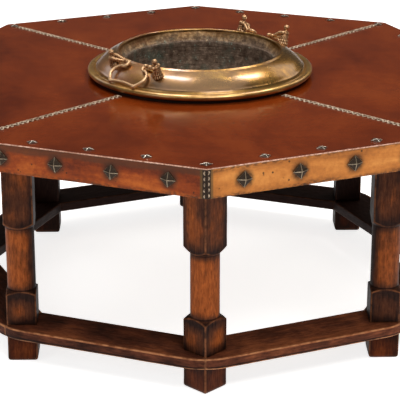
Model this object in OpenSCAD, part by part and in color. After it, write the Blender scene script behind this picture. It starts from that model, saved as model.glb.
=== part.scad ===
// Octagonal brazier table: a leather-covered top on eight turned legs, with a lift-out brass
// brazier in a hole at its centre. Millimetres, +Z up, the floor at z = 0, the front corner at -Y.
// The leg blocks stand with an edge pointing outwards, on a ring of eight mitred stretchers.

/* [Top] */
// Distance across the flats of the octagonal top
top_across_flats = 1220; // [1000:10:1500]
// Height of the leather surface above the floor
table_h = 506; // [440:2:760]
// Height of the upright side of the top
side_h = 60; // [50:1:90]
// Thickness of the board under the leather
board_t = 19; // [15:1:28]
// Thickness of the boards round the edge
apron_t = 22; // [16:1:32]
// Thickness of the leather on the top and on the sides
leather_t = 2.5; // [1.5:0.5:4]
// Gap between two leather panels under their lacing
seam_gap = 0.6; // [0.4:0.1:2]

/* [Legs] */
// Distance from a corner of the top in to the centre of its leg
leg_inset = 129; // [115:1:180]
// Side of the square leg stock
leg_w = 62.5; // [52:0.5:80]
// Diameter of the turned shaft
shaft_d = 59; // [40:1:60]
// Length of the upper square block below the side of the top
upper_block_h = 142; // [80:1:200]
// Height of the lower square block above the stretchers
lower_block_h = 67; // [50:1:110]
// Height of the turned shoulder under the upper block
upper_shoulder_h = 12; // [5:1:20]
// Height of the turned shoulder on the lower block
lower_shoulder_h = 8; // [4:1:16]
// How much of each long edge of a block is worn away
arris_wear = 1.2; // [0.5:0.1:3]
// Height of the feet under the stretchers
foot_h = 59; // [40:1:100]
// Radius of the rounded lower edges of the feet
foot_round_r = 5; // [2:0.5:10]

/* [Stretchers] */
// Thickness of the stretcher boards
stretcher_t = 23; // [16:1:36]
// Width of the stretcher boards
stretcher_w = 103; // [98:1:140]
// How far the ring of stretchers reaches past a leg, at its corner
ring_overhang = 15; // [12:1:40]
// How far each outer corner of the ring is cut back
ring_corner_cut = 10; // [4:1:11]

/* [Joinery] */
// Diameter of the dowels that join legs, stretchers, feet and top
dowel_d = 16; // [10:1:20]
// Depth of a dowel in a leg or a foot
dowel_depth = 32; // [20:1:40]
// Depth of a dowel in the board of the top
dowel_top_depth = 11; // [6:1:12]
// Radial clearance of a dowel in its hole, filled with glue
dowel_clear = 0.1; // [0.05:0.05:0.3]
// Half width of the glue block that fills a corner of the apron
corner_block_w = 34; // [26:1:44]

/* [Nails and lacing] */
// Width of a nail head on the top, corner to corner
top_nail_w = 24; // [16:1:30]
// Height of a nail head on the top
top_nail_h = 4; // [2:0.5:7]
// Distance of the top nails from the edge of the top
top_nail_inset = 27; // [22:1:45]
// Spacing of the top nails along an edge
top_nail_pitch = 120; // [90:1:160]
// Width of a nail head on the side, corner to corner
side_nail_w = 31; // [22:1:38]
// Height of a nail head on the side
side_nail_h = 8; // [4:0.5:12]
// Spacing of the side nails
side_nail_pitch = 117; // [80:1:160]
// Diameter of the nail shanks
nail_shank_d = 3; // [2:0.5:4]
// Depth of the nail shanks in the wood
nail_depth = 13; // [8:1:14]
// Width of the lacing over a seam
lacing_w = 12.5; // [8:0.5:16]
// Spacing of the stitches along a seam
lacing_pitch = 13; // [10:0.5:18]
// Width of one thong of the lacing
thong_w = 2.6; // [1.6:0.2:4]
// Thickness of the lacing
thong_t = 1.4; // [0.8:0.1:2]
// Height of one strap round a corner of the side
strap_h = 8.4; // [5:0.2:11]
// Spacing of the straps
strap_pitch = 12.5; // [9:0.5:18]
// How far a strap reaches round its corner, on each side
strap_reach = 8.5; // [6:0.5:14]

/* [Brazier] */
// Radius of the mouth
mouth_r = 180; // [150:1:210]
// Width of the sloping flange, from the mouth to the middle of the rolled edge
flange_w = 61; // [54:1:80]
// Radius of the rolled edge's own section
bead_r = 7; // [5:0.5:9]
// Gap between the rolled edge and the leather
rim_lift = 7; // [5:0.5:10]
// Height of the lip above the leather
lip_h = 58; // [45:1:75]
// Radius of the rolled lip's own section
lip_r = 3; // [2:0.5:4]
// How far the sloping flange bulges upwards
flange_bulge = 6.2; // [2:0.2:8]
// Thickness of the brazier's wall
wall_t = 2.6; // [2:0.2:4]
// How far the ledge lies inside the mouth
ledge_inset = 12; // [8:1:18]
// Depth of the ledge below the lip
ledge_depth = 26; // [15:1:35]
// Width of the ledge
ledge_w = 3; // [1.5:0.5:6]
// Depth of the bowl below the lip
bowl_depth = 150; // [130:1:180]
// Radius of the curve between the bowl's wall and its floor
bowl_curve_r = 100; // [60:1:100]
// How far the wooden seat ring stays inside the middle of the rolled edge
seat_inset = 6; // [4.5:0.5:6.5]
// Width of the wooden seat ring
seat_ring_w = 13; // [8:1:20]
// How far the seat ring is set back from the hole
seat_ring_setback = 5; // [2:1:10]
// Gap between the brazier and what it rests on
rest_gap = 0.3; // [0.2:0.05:0.5]

/* [Handles] */
// Direction of the left handle, seen from above, with 0 to the right
left_handle_angle = 225; // [200:1:250]
// Direction of the right handle
right_handle_angle = 43; // [20:1:70]
// Distance of a hinge line outside the mouth
hinge_gap = 12; // [10:0.5:16]
// Height of a hinge line above the lip
hinge_lift = 1.5; // [1:0.5:4]
// Diameter of the rod of the handle
bail_d = 6.4; // [5:0.2:7]
// Half the distance between the two ends of a handle
bail_half_gap = 24; // [20:0.5:26]
// Radius of the rounded lobes of a handle
lobe_r = 19; // [17:0.5:21]
// Radius of the bend from a handle's end into its lobe
bend_r = 7; // [6:0.5:8]
// How far the outer corners of a handle at rest lie inside the middle of the rolled edge
bail_corner_inset = 1.7; // [0:0.1:4]
// Angle through which a lobe swells out past its widest point
lobe_end_angle = 38; // [30:1:44]
// How far the outer bar of a handle curves in
bar_sag = 4; // [2:0.5:6]
// Radius of the knops on the outer corners of a handle
knop_r = 4.6; // [3.8:0.2:6]
// Diameter of the handle's pivots
pivot_d = 4; // [3:0.25:5]
// Length of a pivot inside its eye
pivot_len = 9; // [6:0.5:12]
// Radial clearance of a pivot in its eye
pivot_clear = 0.06; // [0.03:0.01:0.1]
// Gap at each end of the handle, between it and the eyes
end_gap = 0.5; // [0.4:0.1:1.5]
// Radius of an eye that holds a pivot
eye_r = 4.5; // [3.6:0.1:5]

/* [Figures] */
// Distance of a figure's foot outside the mouth
figure_gap = 26; // [22:0.5:30]
// Distance of a figure past the widest point of its handle, along the hinge line
figure_spread = 17.5; // [16:0.5:24]
// Angle at which the figures lean outwards
figure_lean = 18; // [8:1:26]
// Height of a figure
figure_h = 45; // [40:1:52]
// Diameter of the rivet that holds a figure
rivet_d = 4; // [3:0.5:5]
// Depth of the rivet in the figure's foot
rivet_depth = 5; // [3:0.5:6]

/* [Hidden] */
$fn = 96;
n_sides = 8;
eps = 0.01;
half_step = 180 / n_sides;
edge_cos = cos(half_step);
CORNERS = ["front", "front_right", "right", "back_right", "back", "back_left", "left", "front_left"];
SIDES = [for (k = [1:n_sides]) k];
QUARTERS = ["front", "right", "back", "left"];
FIGURES = ["left_rear", "left_front", "right_front", "right_rear"];

// The front corner is at -90 degrees, and corner and side numbers run anticlockwise seen from above.
function corner_angle(i) = -90 + i * 360 / n_sides;
function side_angle(k) = corner_angle(k - 1) + half_step;

// Heights
ring_top = foot_h + stretcher_t;
board_top = table_h - leather_t;
board_under = board_top - board_t;
side_bottom = table_h - side_h;
apron_h = board_under - side_bottom;

// Distances from the table's axis to the flats, and the corners of the same octagon
top_flat = top_across_flats / 2;
wood_flat = top_flat - leather_t;
apron_inner_flat = wood_flat - apron_t;
top_corner = top_flat / edge_cos;
edge_len = 2 * top_flat * tan(half_step);
leg_r = top_corner - leg_inset;
leg_corner_r = leg_w / sqrt(2);
ring_corner = leg_r + leg_corner_r + ring_overhang;
ring_flat = ring_corner * edge_cos;
ring_inner_flat = ring_flat - stretcher_w;

// A mitred board of the octagon, from one flat to another; its middle lies on +X.
module mitred_board(inner_flat, outer_flat, h) {
    inner_half = inner_flat * tan(half_step);
    outer_half = outer_flat * tan(half_step);
    linear_extrude(h)
        polygon([[inner_flat, -inner_half], [outer_flat, -outer_half],
                 [outer_flat, outer_half], [inner_flat, inner_half]]);
}

// ---- Legs and feet ----

// Everything that the lathe leaves of a leg: wide at the blocks, narrow at the shaft.
module turned_leg() {
    wide_r = leg_corner_r - arris_wear;
    shaft_r = shaft_d / 2;
    low = ring_top + lower_block_h;
    high = side_bottom - upper_block_h;
    rotate_extrude()
        polygon([[0, ring_top], [wide_r, ring_top], [wide_r, low], [shaft_r, low + lower_shoulder_h],
                 [shaft_r, high - upper_shoulder_h], [wide_r, high], [wide_r, board_under], [0, board_under]]);
}

module leg(i) {
    color("#5c2c14")
        rotate(corner_angle(i)) translate([leg_r, 0, 0])
            difference() {
                intersection() {
                    turned_leg();
                    rotate(45) translate([-leg_w / 2, -leg_w / 2, ring_top])
                        cube([leg_w, leg_w, board_under - ring_top]);
                }
                dowel_hole(ring_top - eps, ring_top + dowel_depth);
                dowel_hole(board_under - dowel_depth, board_under + eps);
            }
}

// The outline of a foot from the side, with rounded lower corners.
module foot_outline() {
    half = leg_w / 2;
    steps = 5;
    turn = [for (s = [0:steps]) 90 * s / steps];
    polygon(concat(
        [[half, foot_h], [-half, foot_h]],
        [for (a = turn) [-half + foot_round_r * (1 - cos(a)), foot_round_r * (1 - sin(a))]],
        [for (a = turn) [half - foot_round_r * (1 - sin(a)), foot_round_r * (1 - cos(a))]]));
}

module foot(i) {
    wide_r = leg_corner_r - arris_wear;
    color("#542810")
        rotate(corner_angle(i)) translate([leg_r, 0, 0])
            difference() {
                intersection() {
                    rotate(45) rotate([90, 0, 0])
                        linear_extrude(leg_w, center = true) foot_outline();
                    rotate(-45) rotate([90, 0, 0])
                        linear_extrude(leg_w, center = true) foot_outline();
                    cylinder(h = foot_h, r = wide_r);
                }
                dowel_hole(foot_h - dowel_depth, foot_h + eps);
            }
}

// ---- Stretcher ring ----

module stretcher(k) {
    cut_r = ring_corner - ring_corner_cut;
    inner_half = ring_inner_flat * tan(half_step);
    outer_half = ring_flat * tan(half_step) - ring_corner_cut / sin(half_step);
    mitre = [cut_r * cos(half_step), cut_r * sin(half_step)];
    color("#4a2210")
        rotate(side_angle(k))
            difference() {
                translate([0, 0, foot_h])
                    linear_extrude(stretcher_t)
                        polygon([[ring_inner_flat, -inner_half], [mitre.x, -mitre.y], [ring_flat, -outer_half],
                                 [ring_flat, outer_half], [mitre.x, mitre.y], [ring_inner_flat, inner_half]]);
                for (side = [-1, 1])
                    rotate(side * half_step) translate([leg_r, 0, 0])
                        dowel_hole(foot_h - eps, ring_top + eps);
            }
}

// ---- Top ----

module apron(k) {
    color("#5a3018")
        rotate(side_angle(k))
            difference() {
                translate([0, 0, side_bottom]) mitred_board(apron_inner_flat, wood_flat, apron_h);
                side_nail_places() nail_shank();
            }
}

module top_board() {
    color("#7a5230")
        difference() {
            translate([0, 0, board_under])
            cylinder(h = board_t, r = wood_flat / edge_cos, $fn = n_sides);
            translate([0, 0, board_under - eps]) cylinder(h = board_t + 2 * eps, r = hole_r);
            top_nail_places() nail_shank();
            at_legs() dowel_hole(board_under - eps, board_under + dowel_top_depth);
        }
}

// A quarter of the top's leather: two edges wide, cut out round the brazier.
module top_leather(q) {
    reach = 2 * top_corner;
    trim = seam_gap / 2;
    color("#7a3018")
        difference() {
            translate([0, 0, board_top])
                intersection() {
                    cylinder(h = leather_t, r = top_corner, $fn = n_sides);
                    rotate(-90 + 90 * q - 45) translate([trim, trim, 0]) cube([reach, reach, leather_t]);
                }
            translate([0, 0, board_top - eps]) cylinder(h = leather_t + 2 * eps, r = hole_r);
            top_nail_places() nail_shank();
        }
}

module side_leather(k) {
    color("#b8672e")
        rotate(side_angle(k))
            difference() {
                translate([0, 0, side_bottom]) mitred_board(wood_flat, top_flat, side_h - leather_t);
                side_nail_places() nail_shank();
            }
}

// Fills a corner of the apron between the two boards and the outer faces of the leg.
module corner_blocks() {
    tip = leg_r + leg_corner_r;
    apron_x = function(y) (apron_inner_flat - abs(y) * sin(half_step)) / edge_cos;
    w = corner_block_w;
    color("#6b4a2c")
        at_corners() translate([0, 0, side_bottom])
            linear_extrude(apron_h)
                polygon([[tip, 0], [tip - w / 2, -w / 2], [apron_x(w), -w],
                         [apron_x(0), 0], [apron_x(w), w], [tip - w / 2, w / 2]]);
}

// ---- Dowels ----

module at_corners() {
    for (i = [0:n_sides - 1])
        rotate(corner_angle(i)) children();
}

module at_legs() {
    at_corners() translate([leg_r, 0, 0]) children();
}

module dowel_hole(bottom, top) {
    translate([0, 0, bottom]) cylinder(h = top - bottom, d = dowel_d + 2 * dowel_clear);
}

module dowels() {
    end = 1;
    color("#b08a5a")
        at_legs() {
            translate([0, 0, foot_h - dowel_depth + end])
                cylinder(h = 2 * dowel_depth + stretcher_t - 2 * end, d = dowel_d);
            translate([0, 0, board_under - dowel_depth + end])
                cylinder(h = dowel_depth + dowel_top_depth - 2 * end, d = dowel_d);
        }
}

// ---- Nails ----

// Children are placed with their base on the leather and +Z out of it.
module top_nail_places() {
    wide = edge_len / 2 - 2 * top_nail_w;
    n = floor(wide / top_nail_pitch);
    for (k = SIDES, j = [-n:n])
        rotate(side_angle(k)) translate([top_flat - top_nail_inset, j * top_nail_pitch, table_h]) children();
    at_corners() translate([top_corner - top_nail_inset, 0, table_h]) children();
}

module side_nail_places() {
    n = floor((edge_len - 2 * side_nail_w) / side_nail_pitch);
    for (j = [0:n])
        translate([top_flat, (j - n / 2) * side_nail_pitch, table_h - side_h / 2])
            rotate([0, 90, 0]) children();
}

module nail_shank() {
    translate([0, 0, -leather_t - nail_depth]) cylinder(h = leather_t + nail_depth + eps, d = nail_shank_d, $fn = 24);
}

// A square head on a shank: a low plate that rises to a point between four hollowed faces.
module nail(w, h) {
    plate = h / 5;
    cylinder(h = plate, r = w / 2, $fn = 4);
    translate([0, 0, plate]) cylinder(h = h - plate, r1 = w / 2 * 0.88, r2 = 0.6, $fn = 4);
    nail_shank();
}

module top_nails() {
    color("#9a968c") top_nail_places() nail(top_nail_w, top_nail_h);
}

module side_nails() {
    color("#3c3428")
        for (k = SIDES)
            rotate(side_angle(k)) side_nail_places() nail(side_nail_w, side_nail_h);
}

// ---- Lacing ----

// One crossed stitch, lying flat, as wide as the lacing and almost one pitch long.
module stitch() {
    w = lacing_w / 2;
    half_l = lacing_pitch / 2 - 0.4;
    slant = atan2(w, half_l - thong_w / 2);
    dx = thong_w / 2 / sin(slant);
    dy = thong_w / 2 / cos(slant);
    near = half_l - 2 * dx;
    linear_extrude(thong_t)
        polygon([[dx, 0], [half_l, w], [near, w], [0, dy], [-near, w], [-half_l, w],
                 [-dx, 0], [-half_l, -w], [-near, -w], [0, -dy], [near, -w], [half_l, -w]]);
}

module seam_lacing() {
    start = rim_r + bead_r;
    stop = top_corner - top_nail_inset - top_nail_w / 2;
    n = floor((stop - start) / lacing_pitch);
    color("#b59a7c")
        for (q = [0:3], j = [0:n - 1])
            rotate(45 + 90 * q) translate([stop - (j + 0.5) * lacing_pitch, 0, table_h]) stitch();
}

// Straps bent round each corner of the side, one above the other.
module corner_lacing() {
    n = floor((side_h - leather_t) / strap_pitch);
    first = side_bottom + (side_h - leather_t - (n - 1) * strap_pitch) / 2;
    outer = top_corner + thong_t / edge_cos;
    end = [-strap_reach * sin(half_step), strap_reach * cos(half_step)];
    lift = [thong_t * cos(half_step), thong_t * sin(half_step)];
    color("#b59a7c")
        at_corners()
            for (j = [0:n - 1])
                translate([0, 0, first + j * strap_pitch - strap_h / 2])
                    linear_extrude(strap_h)
                        polygon([[top_corner, 0], [top_corner + end.x, end.y],
                                 [top_corner + end.x + lift.x, end.y + lift.y], [outer, 0],
                                 [top_corner + end.x + lift.x, -end.y - lift.y],
                                 [top_corner + end.x, -end.y]]);
}

// ---- Brazier ----

rim_r = mouth_r + flange_w;
ledge_r = mouth_r - ledge_inset;
bead_z = table_h + rim_lift + bead_r;
lip_z = table_h + lip_h - lip_r;
seat_outer_r = rim_r - seat_inset;
seat_inner_r = seat_outer_r - seat_ring_w;
hole_r = seat_inner_r - seat_ring_setback;
seat_top = bead_z - sqrt(pow(bead_r + rest_gap, 2) - pow(seat_inset, 2));
ledge_z = table_h + lip_h - ledge_depth;
bowl_r = ledge_r - ledge_w;
floor_z = table_h + lip_h - bowl_depth;

// The flange is an arc between the top of the rolled edge and the lip.
flange_low = [rim_r - 0.7 * bead_r, bead_z - 0.1 * bead_r];
flange_high = [mouth_r, lip_z + lip_r / 2];
flange_span = norm(flange_high - flange_low);
flange_R = (pow(flange_span / 2, 2) + pow(flange_bulge, 2)) / (2 * flange_bulge);
flange_dir = (flange_high - flange_low) / flange_span;
flange_out = [flange_dir.y, -flange_dir.x];
flange_centre = (flange_low + flange_high) / 2 + flange_out * (flange_bulge - flange_R);
function flange_z(r) = flange_centre.y + sqrt(pow(flange_R, 2) - pow(r - flange_centre.x, 2));
function flange_slope(r) = asin((r - flange_centre.x) / flange_R);

function arc(centre, r, from, to, n) =
    [for (s = [0:n]) centre + r * [cos(from + (to - from) * s / n), sin(from + (to - from) * s / n)]];

// The wall's upper and inner face, from the rolled edge over the lip to the middle of the floor,
// moved inwards by t: 0 for the face itself and the wall's thickness for its back.
function wall_face(t) = concat(
    arc(flange_centre, flange_R - t,
        atan2(flange_low.y - flange_centre.y, flange_low.x - flange_centre.x),
        atan2(flange_high.y - flange_centre.y, flange_high.x - flange_centre.x), 12),
    [[ledge_r + t, ledge_z + (t > 0 ? -t : 0)],
     [bowl_r + t, ledge_z + (t > 0 ? -t : -eps)]],
    arc([bowl_r - bowl_curve_r, floor_z + bowl_curve_r], bowl_curve_r + t, 0, -90, 12),
    [[0, floor_z - t]]);

function reversed(list) = [for (i = [len(list) - 1:-1:0]) list[i]];

module basin_profile() {
    polygon(concat(wall_face(0), reversed(wall_face(wall_t))));
    translate([rim_r, bead_z]) circle(bead_r);
    translate([mouth_r, lip_z]) circle(lip_r);
}

module brazier_basin() {
    color("#b8923e")
        difference() {
            rotate_extrude() basin_profile();
            at_figures() rivet_hole();
        }
}

// What stands on the flange is cut to fit by this solid, which fills everything under its face.
module under_flange() {
    rotate_extrude()
        polygon(concat([[0, floor_z], [flange_low.x, floor_z]],
                       arc(flange_centre, flange_R,
                           atan2(flange_low.y - flange_centre.y, flange_low.x - flange_centre.x),
                           atan2(flange_high.y - flange_centre.y, flange_high.x - flange_centre.x), 12),
                       [[0, flange_high.y]]));
}

module seat_ring() {
    color("#2c1c12")
        rotate_extrude()
            polygon([[seat_inner_r, table_h], [seat_outer_r, table_h],
                     [seat_outer_r, seat_top], [seat_inner_r, seat_top]]);
}

// ---- Handles ----

// Each handle's own frame: +X outwards, +Y along the hinge line, the origin on its middle.
handle_angles = [left_handle_angle, right_handle_angle];
hinge_r = mouth_r + hinge_gap;
hinge_h = lip_h + hinge_lift;

module handle_frame(h) {
    rotate(handle_angles[h]) translate([hinge_r, 0, table_h + hinge_h]) children();
}

// Half the width of the handle at its outer corners, and the angle at which it lies at rest.
ball_r = 0.6 * bail_d;
eye_inner = bail_half_gap + ball_r + end_gap;
rest_drop = hinge_h - rim_lift - 2 * bead_r - knop_r - rest_gap;
bail_reach = norm([rim_r - bail_corner_inset - hinge_r, rest_drop]);
rest_angle = asin(rest_drop / bail_reach);
lobe_centre = [bail_half_gap + bend_r, 2 * bend_r + lobe_r];
lobe_end = lobe_centre + lobe_r * [cos(lobe_end_angle), sin(lobe_end_angle)];
side_len = (bail_reach - lobe_end.y) / cos(lobe_end_angle);
knop = [lobe_end.x - side_len * sin(lobe_end_angle), bail_reach];
bar_R = (pow(knop.x, 2) + pow(bar_sag, 2)) / (2 * bar_sag);
bar_half_angle = asin(knop.x / bar_R);

// The handle lies in the plane of X (its width) and Y (its reach), with its hinge line on X.
module bail_half() {
    rod_r = bail_d / 2;
    translate([bail_half_gap, 0, 0]) {
        rotate([0, 90, 0]) cylinder(h = ball_r + end_gap + pivot_len, d = pivot_d, $fn = 48);
        sphere(ball_r);
        rotate([-90, 0, 0]) cylinder(h = bend_r, r = rod_r);
    }
    translate([bail_half_gap + bend_r, bend_r, 0])
        rotate(90) rotate_extrude(angle = 90) translate([bend_r, 0]) circle(rod_r);
    translate(lobe_centre)
        rotate(-90) rotate_extrude(angle = 90 + lobe_end_angle) translate([lobe_r, 0]) circle(rod_r);
    translate(lobe_end) {
        sphere(0.95 * ball_r);
        rotate(lobe_end_angle) rotate([-90, 0, 0]) translate([0, 0, 0.5]) cylinder(h = side_len - 0.5, r = rod_r);
    }
    translate(knop) sphere(knop_r);
}

module bail() {
    bail_half();
    mirror([1, 0, 0]) bail_half();
    translate([0, bail_reach - bar_sag + bar_R, 0])
        rotate(-90 - bar_half_angle) rotate_extrude(angle = 2 * bar_half_angle)
            translate([bar_R, 0]) circle(bail_d / 2);
}

module handle(h) {
    color("#8a5a34")
        handle_frame(h) rotate([0, rest_angle, 0]) rotate(-90) bail();
}

// ---- Figures ----

figure_r = mouth_r + figure_gap;
figure_offset = bail_half_gap + bend_r + lobe_r + figure_spread;
figure_turn = asin(figure_offset / figure_r);

// A figure's own frame: +Z up its body, +X outwards, and its place on the flange at the origin.
module figure_frame(f) {
    h = floor(f / 2);
    side = f % 2 == 0 ? -1 : 1;
    rotate(handle_angles[h] + side * figure_turn)
        translate([figure_r, 0, flange_z(figure_r)]) children();
}

module at_figures() {
    for (f = [0:3])
        figure_frame(f) rotate([0, flange_slope(figure_r), 0]) children();
}

module rivet_hole() {
    translate([0, 0, -2 * wall_t]) cylinder(h = 2 * wall_t + rivet_depth, d = rivet_d + 0.1, $fn = 32);
}

// A place on a figure in the handle's frame: h up the body, out from the brazier, and fwd along
// the hinge line towards the middle of the handle.
foot_x = sqrt(pow(figure_r, 2) - pow(figure_offset, 2)) - hinge_r;
foot_z = flange_z(figure_r) - table_h - hinge_h;
function place(h, out, fwd) =
    [foot_x + h * sin(figure_lean) + out * cos(figure_lean),
     figure_offset - fwd,
     foot_z + h * cos(figure_lean) - out * sin(figure_lean)];

// A straight limb between two places, with a fuller ball on its first end.
module limb(p, q, r, ball) {
    d = q - p;
    translate(p) {
        sphere(ball);
        rotate([0, acos(d.z / norm(d)), atan2(d.y, d.x)]) cylinder(h = norm(d), r = r);
    }
}

// A kneeling figure in a gown that holds the eye with both hands. It looks along -Y.
module figure_body() {
    s = figure_h / 45;
    grip = [0, eye_inner + pivot_len + 3, 0];
    translate(place(0, 0, 0)) rotate([0, figure_lean, 0]) scale(s)
        rotate_extrude()
            polygon([[0, -6], [10.5, -6], [10, 4], [7, 14], [7.6, 22], [6.4, 28], [2.6, 31], [2.8, 36], [0, 36]]);
    translate(place(figure_h - 6.4 * s, 0, 1.5 * s)) sphere(5.4 * s);
    translate(place(figure_h - 5 * s, 0, -0.8 * s)) sphere(5 * s);
    for (out = [-1, 1]) {
        shoulder = place(25 * s, out * 6.6 * s, 1 * s);
        elbow = place(24.5 * s, out * 6.5 * s, 15 * s);
        limb(shoulder, elbow, 2.7 * s, 3.5 * s);
        limb(elbow, grip + [out * 2.4 * s, 0, 0], 2.2 * s, 3 * s);
        limb(place(4 * s, out * 4.4 * s, 9 * s), place(7 * s, out * 4 * s, 0), 3.8 * s, 4.4 * s);
    }
}

// The eye for the handle's pivot, on an arm that runs back into the figure's lap.
module figure_eye() {
    translate([0, eye_inner, 0]) rotate([-90, 0, 0]) cylinder(h = pivot_len + 4, r = eye_r);
    limb([0, eye_inner + pivot_len + 4, 0], place(14, 0, 0), eye_r * 0.75, eye_r * 1.1);
}

module figure(f) {
    h = floor(f / 2);
    side = f % 2;
    color("#8a5a34")
        difference() {
            handle_frame(h) mirror([0, 1 - side, 0])
                difference() {
                    union() {
                        figure_body();
                        figure_eye();
                    }
                    translate([0, eye_inner - eps, 0]) rotate([-90, 0, 0])
                        cylinder(h = pivot_len + end_gap, d = pivot_d + 2 * pivot_clear, $fn = 48);
                }
            under_flange();
            figure_frame(f) rotate([0, flange_slope(figure_r), 0]) rivet_hole();
        }
}

module figure_rivets() {
    back = -wall_t - 0.2;
    color("#a07a40")
        at_figures() {
            translate([0, 0, back - 1]) cylinder(h = rivet_depth - back, d = rivet_d, $fn = 32);
            translate([0, 0, back - 2]) cylinder(h = 2, r = rivet_d, $fn = 32);
        }
}

for (i = [0:n_sides - 1]) {
    leg(i);
    foot(i);
}
for (k = SIDES) {
    stretcher(k);
    apron(k);
    side_leather(k);
}
for (q = [0:3]) {
    top_leather(q);
    figure(q);
}
top_board();
corner_blocks();
dowels();
top_nails();
side_nails();
seam_lacing();
corner_lacing();
seat_ring();
brazier_basin();
figure_rivets();
handle(0);  // handle_left
handle(1);  // handle_right
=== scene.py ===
# %% [markdown]
# # An octagonal brazier table
#
# A low table with a leather top, eight turned legs on a ring of boards, and a brass brazier that
# lifts out of the middle. The solid parts come from a packed construction model, the frame. This
# script gives each part the surface that time and use have given it.
#
# Everything is in metres, with the floor at zero and the front corner of the table towards -Y.

# %% Load the frame
import math
import bmesh
import bpy
import numpy as np
from mathutils import Matrix, Vector


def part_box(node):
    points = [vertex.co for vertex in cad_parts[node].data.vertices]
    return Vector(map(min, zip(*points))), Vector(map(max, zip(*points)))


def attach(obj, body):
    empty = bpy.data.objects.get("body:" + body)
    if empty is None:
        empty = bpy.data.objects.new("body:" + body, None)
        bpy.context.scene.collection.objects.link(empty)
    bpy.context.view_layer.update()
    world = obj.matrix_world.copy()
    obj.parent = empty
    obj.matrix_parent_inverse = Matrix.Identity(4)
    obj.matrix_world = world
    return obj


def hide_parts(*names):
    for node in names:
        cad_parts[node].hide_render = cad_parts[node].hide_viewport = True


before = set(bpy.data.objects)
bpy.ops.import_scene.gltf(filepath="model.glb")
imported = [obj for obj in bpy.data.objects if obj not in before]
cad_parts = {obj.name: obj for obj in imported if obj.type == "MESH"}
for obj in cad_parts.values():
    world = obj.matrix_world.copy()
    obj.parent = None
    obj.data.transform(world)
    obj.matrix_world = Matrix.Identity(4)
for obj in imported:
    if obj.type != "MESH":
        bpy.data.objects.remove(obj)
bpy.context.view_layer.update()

# %% [markdown]
# ## Sizes
#
# The sizes that the dressed parts share with the frame. They could all be typed in. But where a
# node of the frame tells a height it is asked, so that the script follows the frame.

# %% Sizes shared with the frame
MM = 0.001
TOP_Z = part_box("top_leather_front")[1].z
BOARD_UNDER, BOARD_TOP = [corner.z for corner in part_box("top_board")]
RING_LOW, RING_TOP = [corner.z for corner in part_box("stretcher_1")]
SIDE_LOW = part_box("side_leather_1")[0].z
HALF_STEP = math.radians(22.5)
TOP_FLAT = 0.610
TOP_CORNER = TOP_FLAT / math.cos(HALF_STEP)
HALF_EDGE = TOP_FLAT * math.tan(HALF_STEP)
LEG_W, LEG_INSET = 0.0625, 0.129
LEG_R = TOP_CORNER - LEG_INSET
HOLE_R = 0.217
CORNERS = ["front", "front_right", "right", "back_right", "back", "back_left", "left", "front_left"]


def corner_angle(i):
    return math.radians(-90 + 45 * i)


def side_angle(k):
    return corner_angle(k - 1) + HALF_STEP


print(f"top at {TOP_Z:.4f}, ring {RING_LOW:.4f} to {RING_TOP:.4f}, leg circle {LEG_R:.4f}")

# %% [markdown]
# ## Camera and light
#
# The camera looks down on the table from the front, far away and with a long lens, so that the
# legs stay nearly upright. A broad dim ceiling lights the top. Two small lamps below it give the
# brass its two soft highlights, and three dim ones behind draw the far rims. Three lamps in front
# light the sides and the legs. The floor is plain, pale and slightly luminous, like a light table.
# A picture of a sky could light it all at once, but lamps put each highlight where it is wanted.

# %% Camera
def add_object(name, data):
    made = bpy.data.objects.new(name, data)
    bpy.context.scene.collection.objects.link(made)
    return made


def facing(way):
    """The turn of a camera or lamp that looks along a direction."""
    return Vector(way).to_track_quat("-Z", "Y").to_euler()


camera = add_object("camera", bpy.data.cameras.new("camera"))
camera.location = (-0.067, -3.599, 1.498)
camera.rotation_euler = facing((0.01752, 0.94129, -0.33715))
camera.data.lens = 151.42
camera.data.sensor_width = 36
camera.data.clip_end = 200
bpy.context.scene.camera = camera
print(f"camera: {camera.location.length:.2f} m from the middle of the ring, lens {camera.data.lens:.0f} mm")


# %% Lamps, sky and floor
def lamp(name, place, target, size, power, colour=(1, 1, 1)):
    data = bpy.data.lights.new(name, "AREA")
    data.shape = "RECTANGLE"
    data.size, data.size_y = size
    data.energy = power
    data.color = colour
    made = add_object(name, data)
    made.location = place
    made.rotation_euler = facing(Vector(target) - Vector(place))


lamp("ceiling", (0, 0.2, 4.6), (0, 0.2, 0), (5.0, 5.0), 88)
lamp("lamp_over_left", (-0.68, 0.42, 3.6), (-0.06, -0.2, 0.55), (0.42, 0.9), 31)
lamp("lamp_over_right", (1.55, 0.80, 3.5), (0.1, -0.2, 0.55), (0.42, 0.9), 30)
lamp("lamp_over_back", (0.2, 3.0, 4.2), (0, 0.1, 0.4), (4.0, 2.0), 8, (1.0, 0.90, 0.76))
lamp("lamp_back_right", (3.5, 3.3, 3.3), (0.2, 0, 0.5), (2.2, 2.2), 26, (1.0, 0.92, 0.8))
lamp("lamp_back_left", (-3.5, 3.3, 3.3), (-0.2, 0, 0.5), (2.2, 2.2), 24)
lamp("lamp_front_high", (1.2, -3.0, 4.1), (0, -0.1, 0.4), (2.2, 1.6), 105, (1.0, 0.98, 0.95))
lamp("lamp_front_strip", (0.3, -4.2, 2.7), (0, -0.2, 0.5), (3.0, 0.5), 9)
lamp("lamp_front_left", (-2.9, -3.0, 2.2), (-0.1, -0.3, 0.3), (1.8, 1.6), 20)

world = bpy.data.worlds.new("studio")
world.use_nodes = True
sky = world.node_tree.nodes["Background"].inputs
sky["Color"].default_value = (1.0, 0.95, 0.88, 1)
sky["Strength"].default_value = 0.08
bpy.context.scene.world = world
bpy.context.scene.view_settings.view_transform = "Standard"

mesh = bpy.data.meshes.new("floor")
mesh.from_pydata([(-40, -40, 0), (40, -40, 0), (40, 40, 0), (-40, 40, 0)], [], [(0, 1, 2, 3)])
floor = add_object("floor", mesh)
print(len(bpy.data.lights), "lamps, the sky and the floor are in place")


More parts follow.
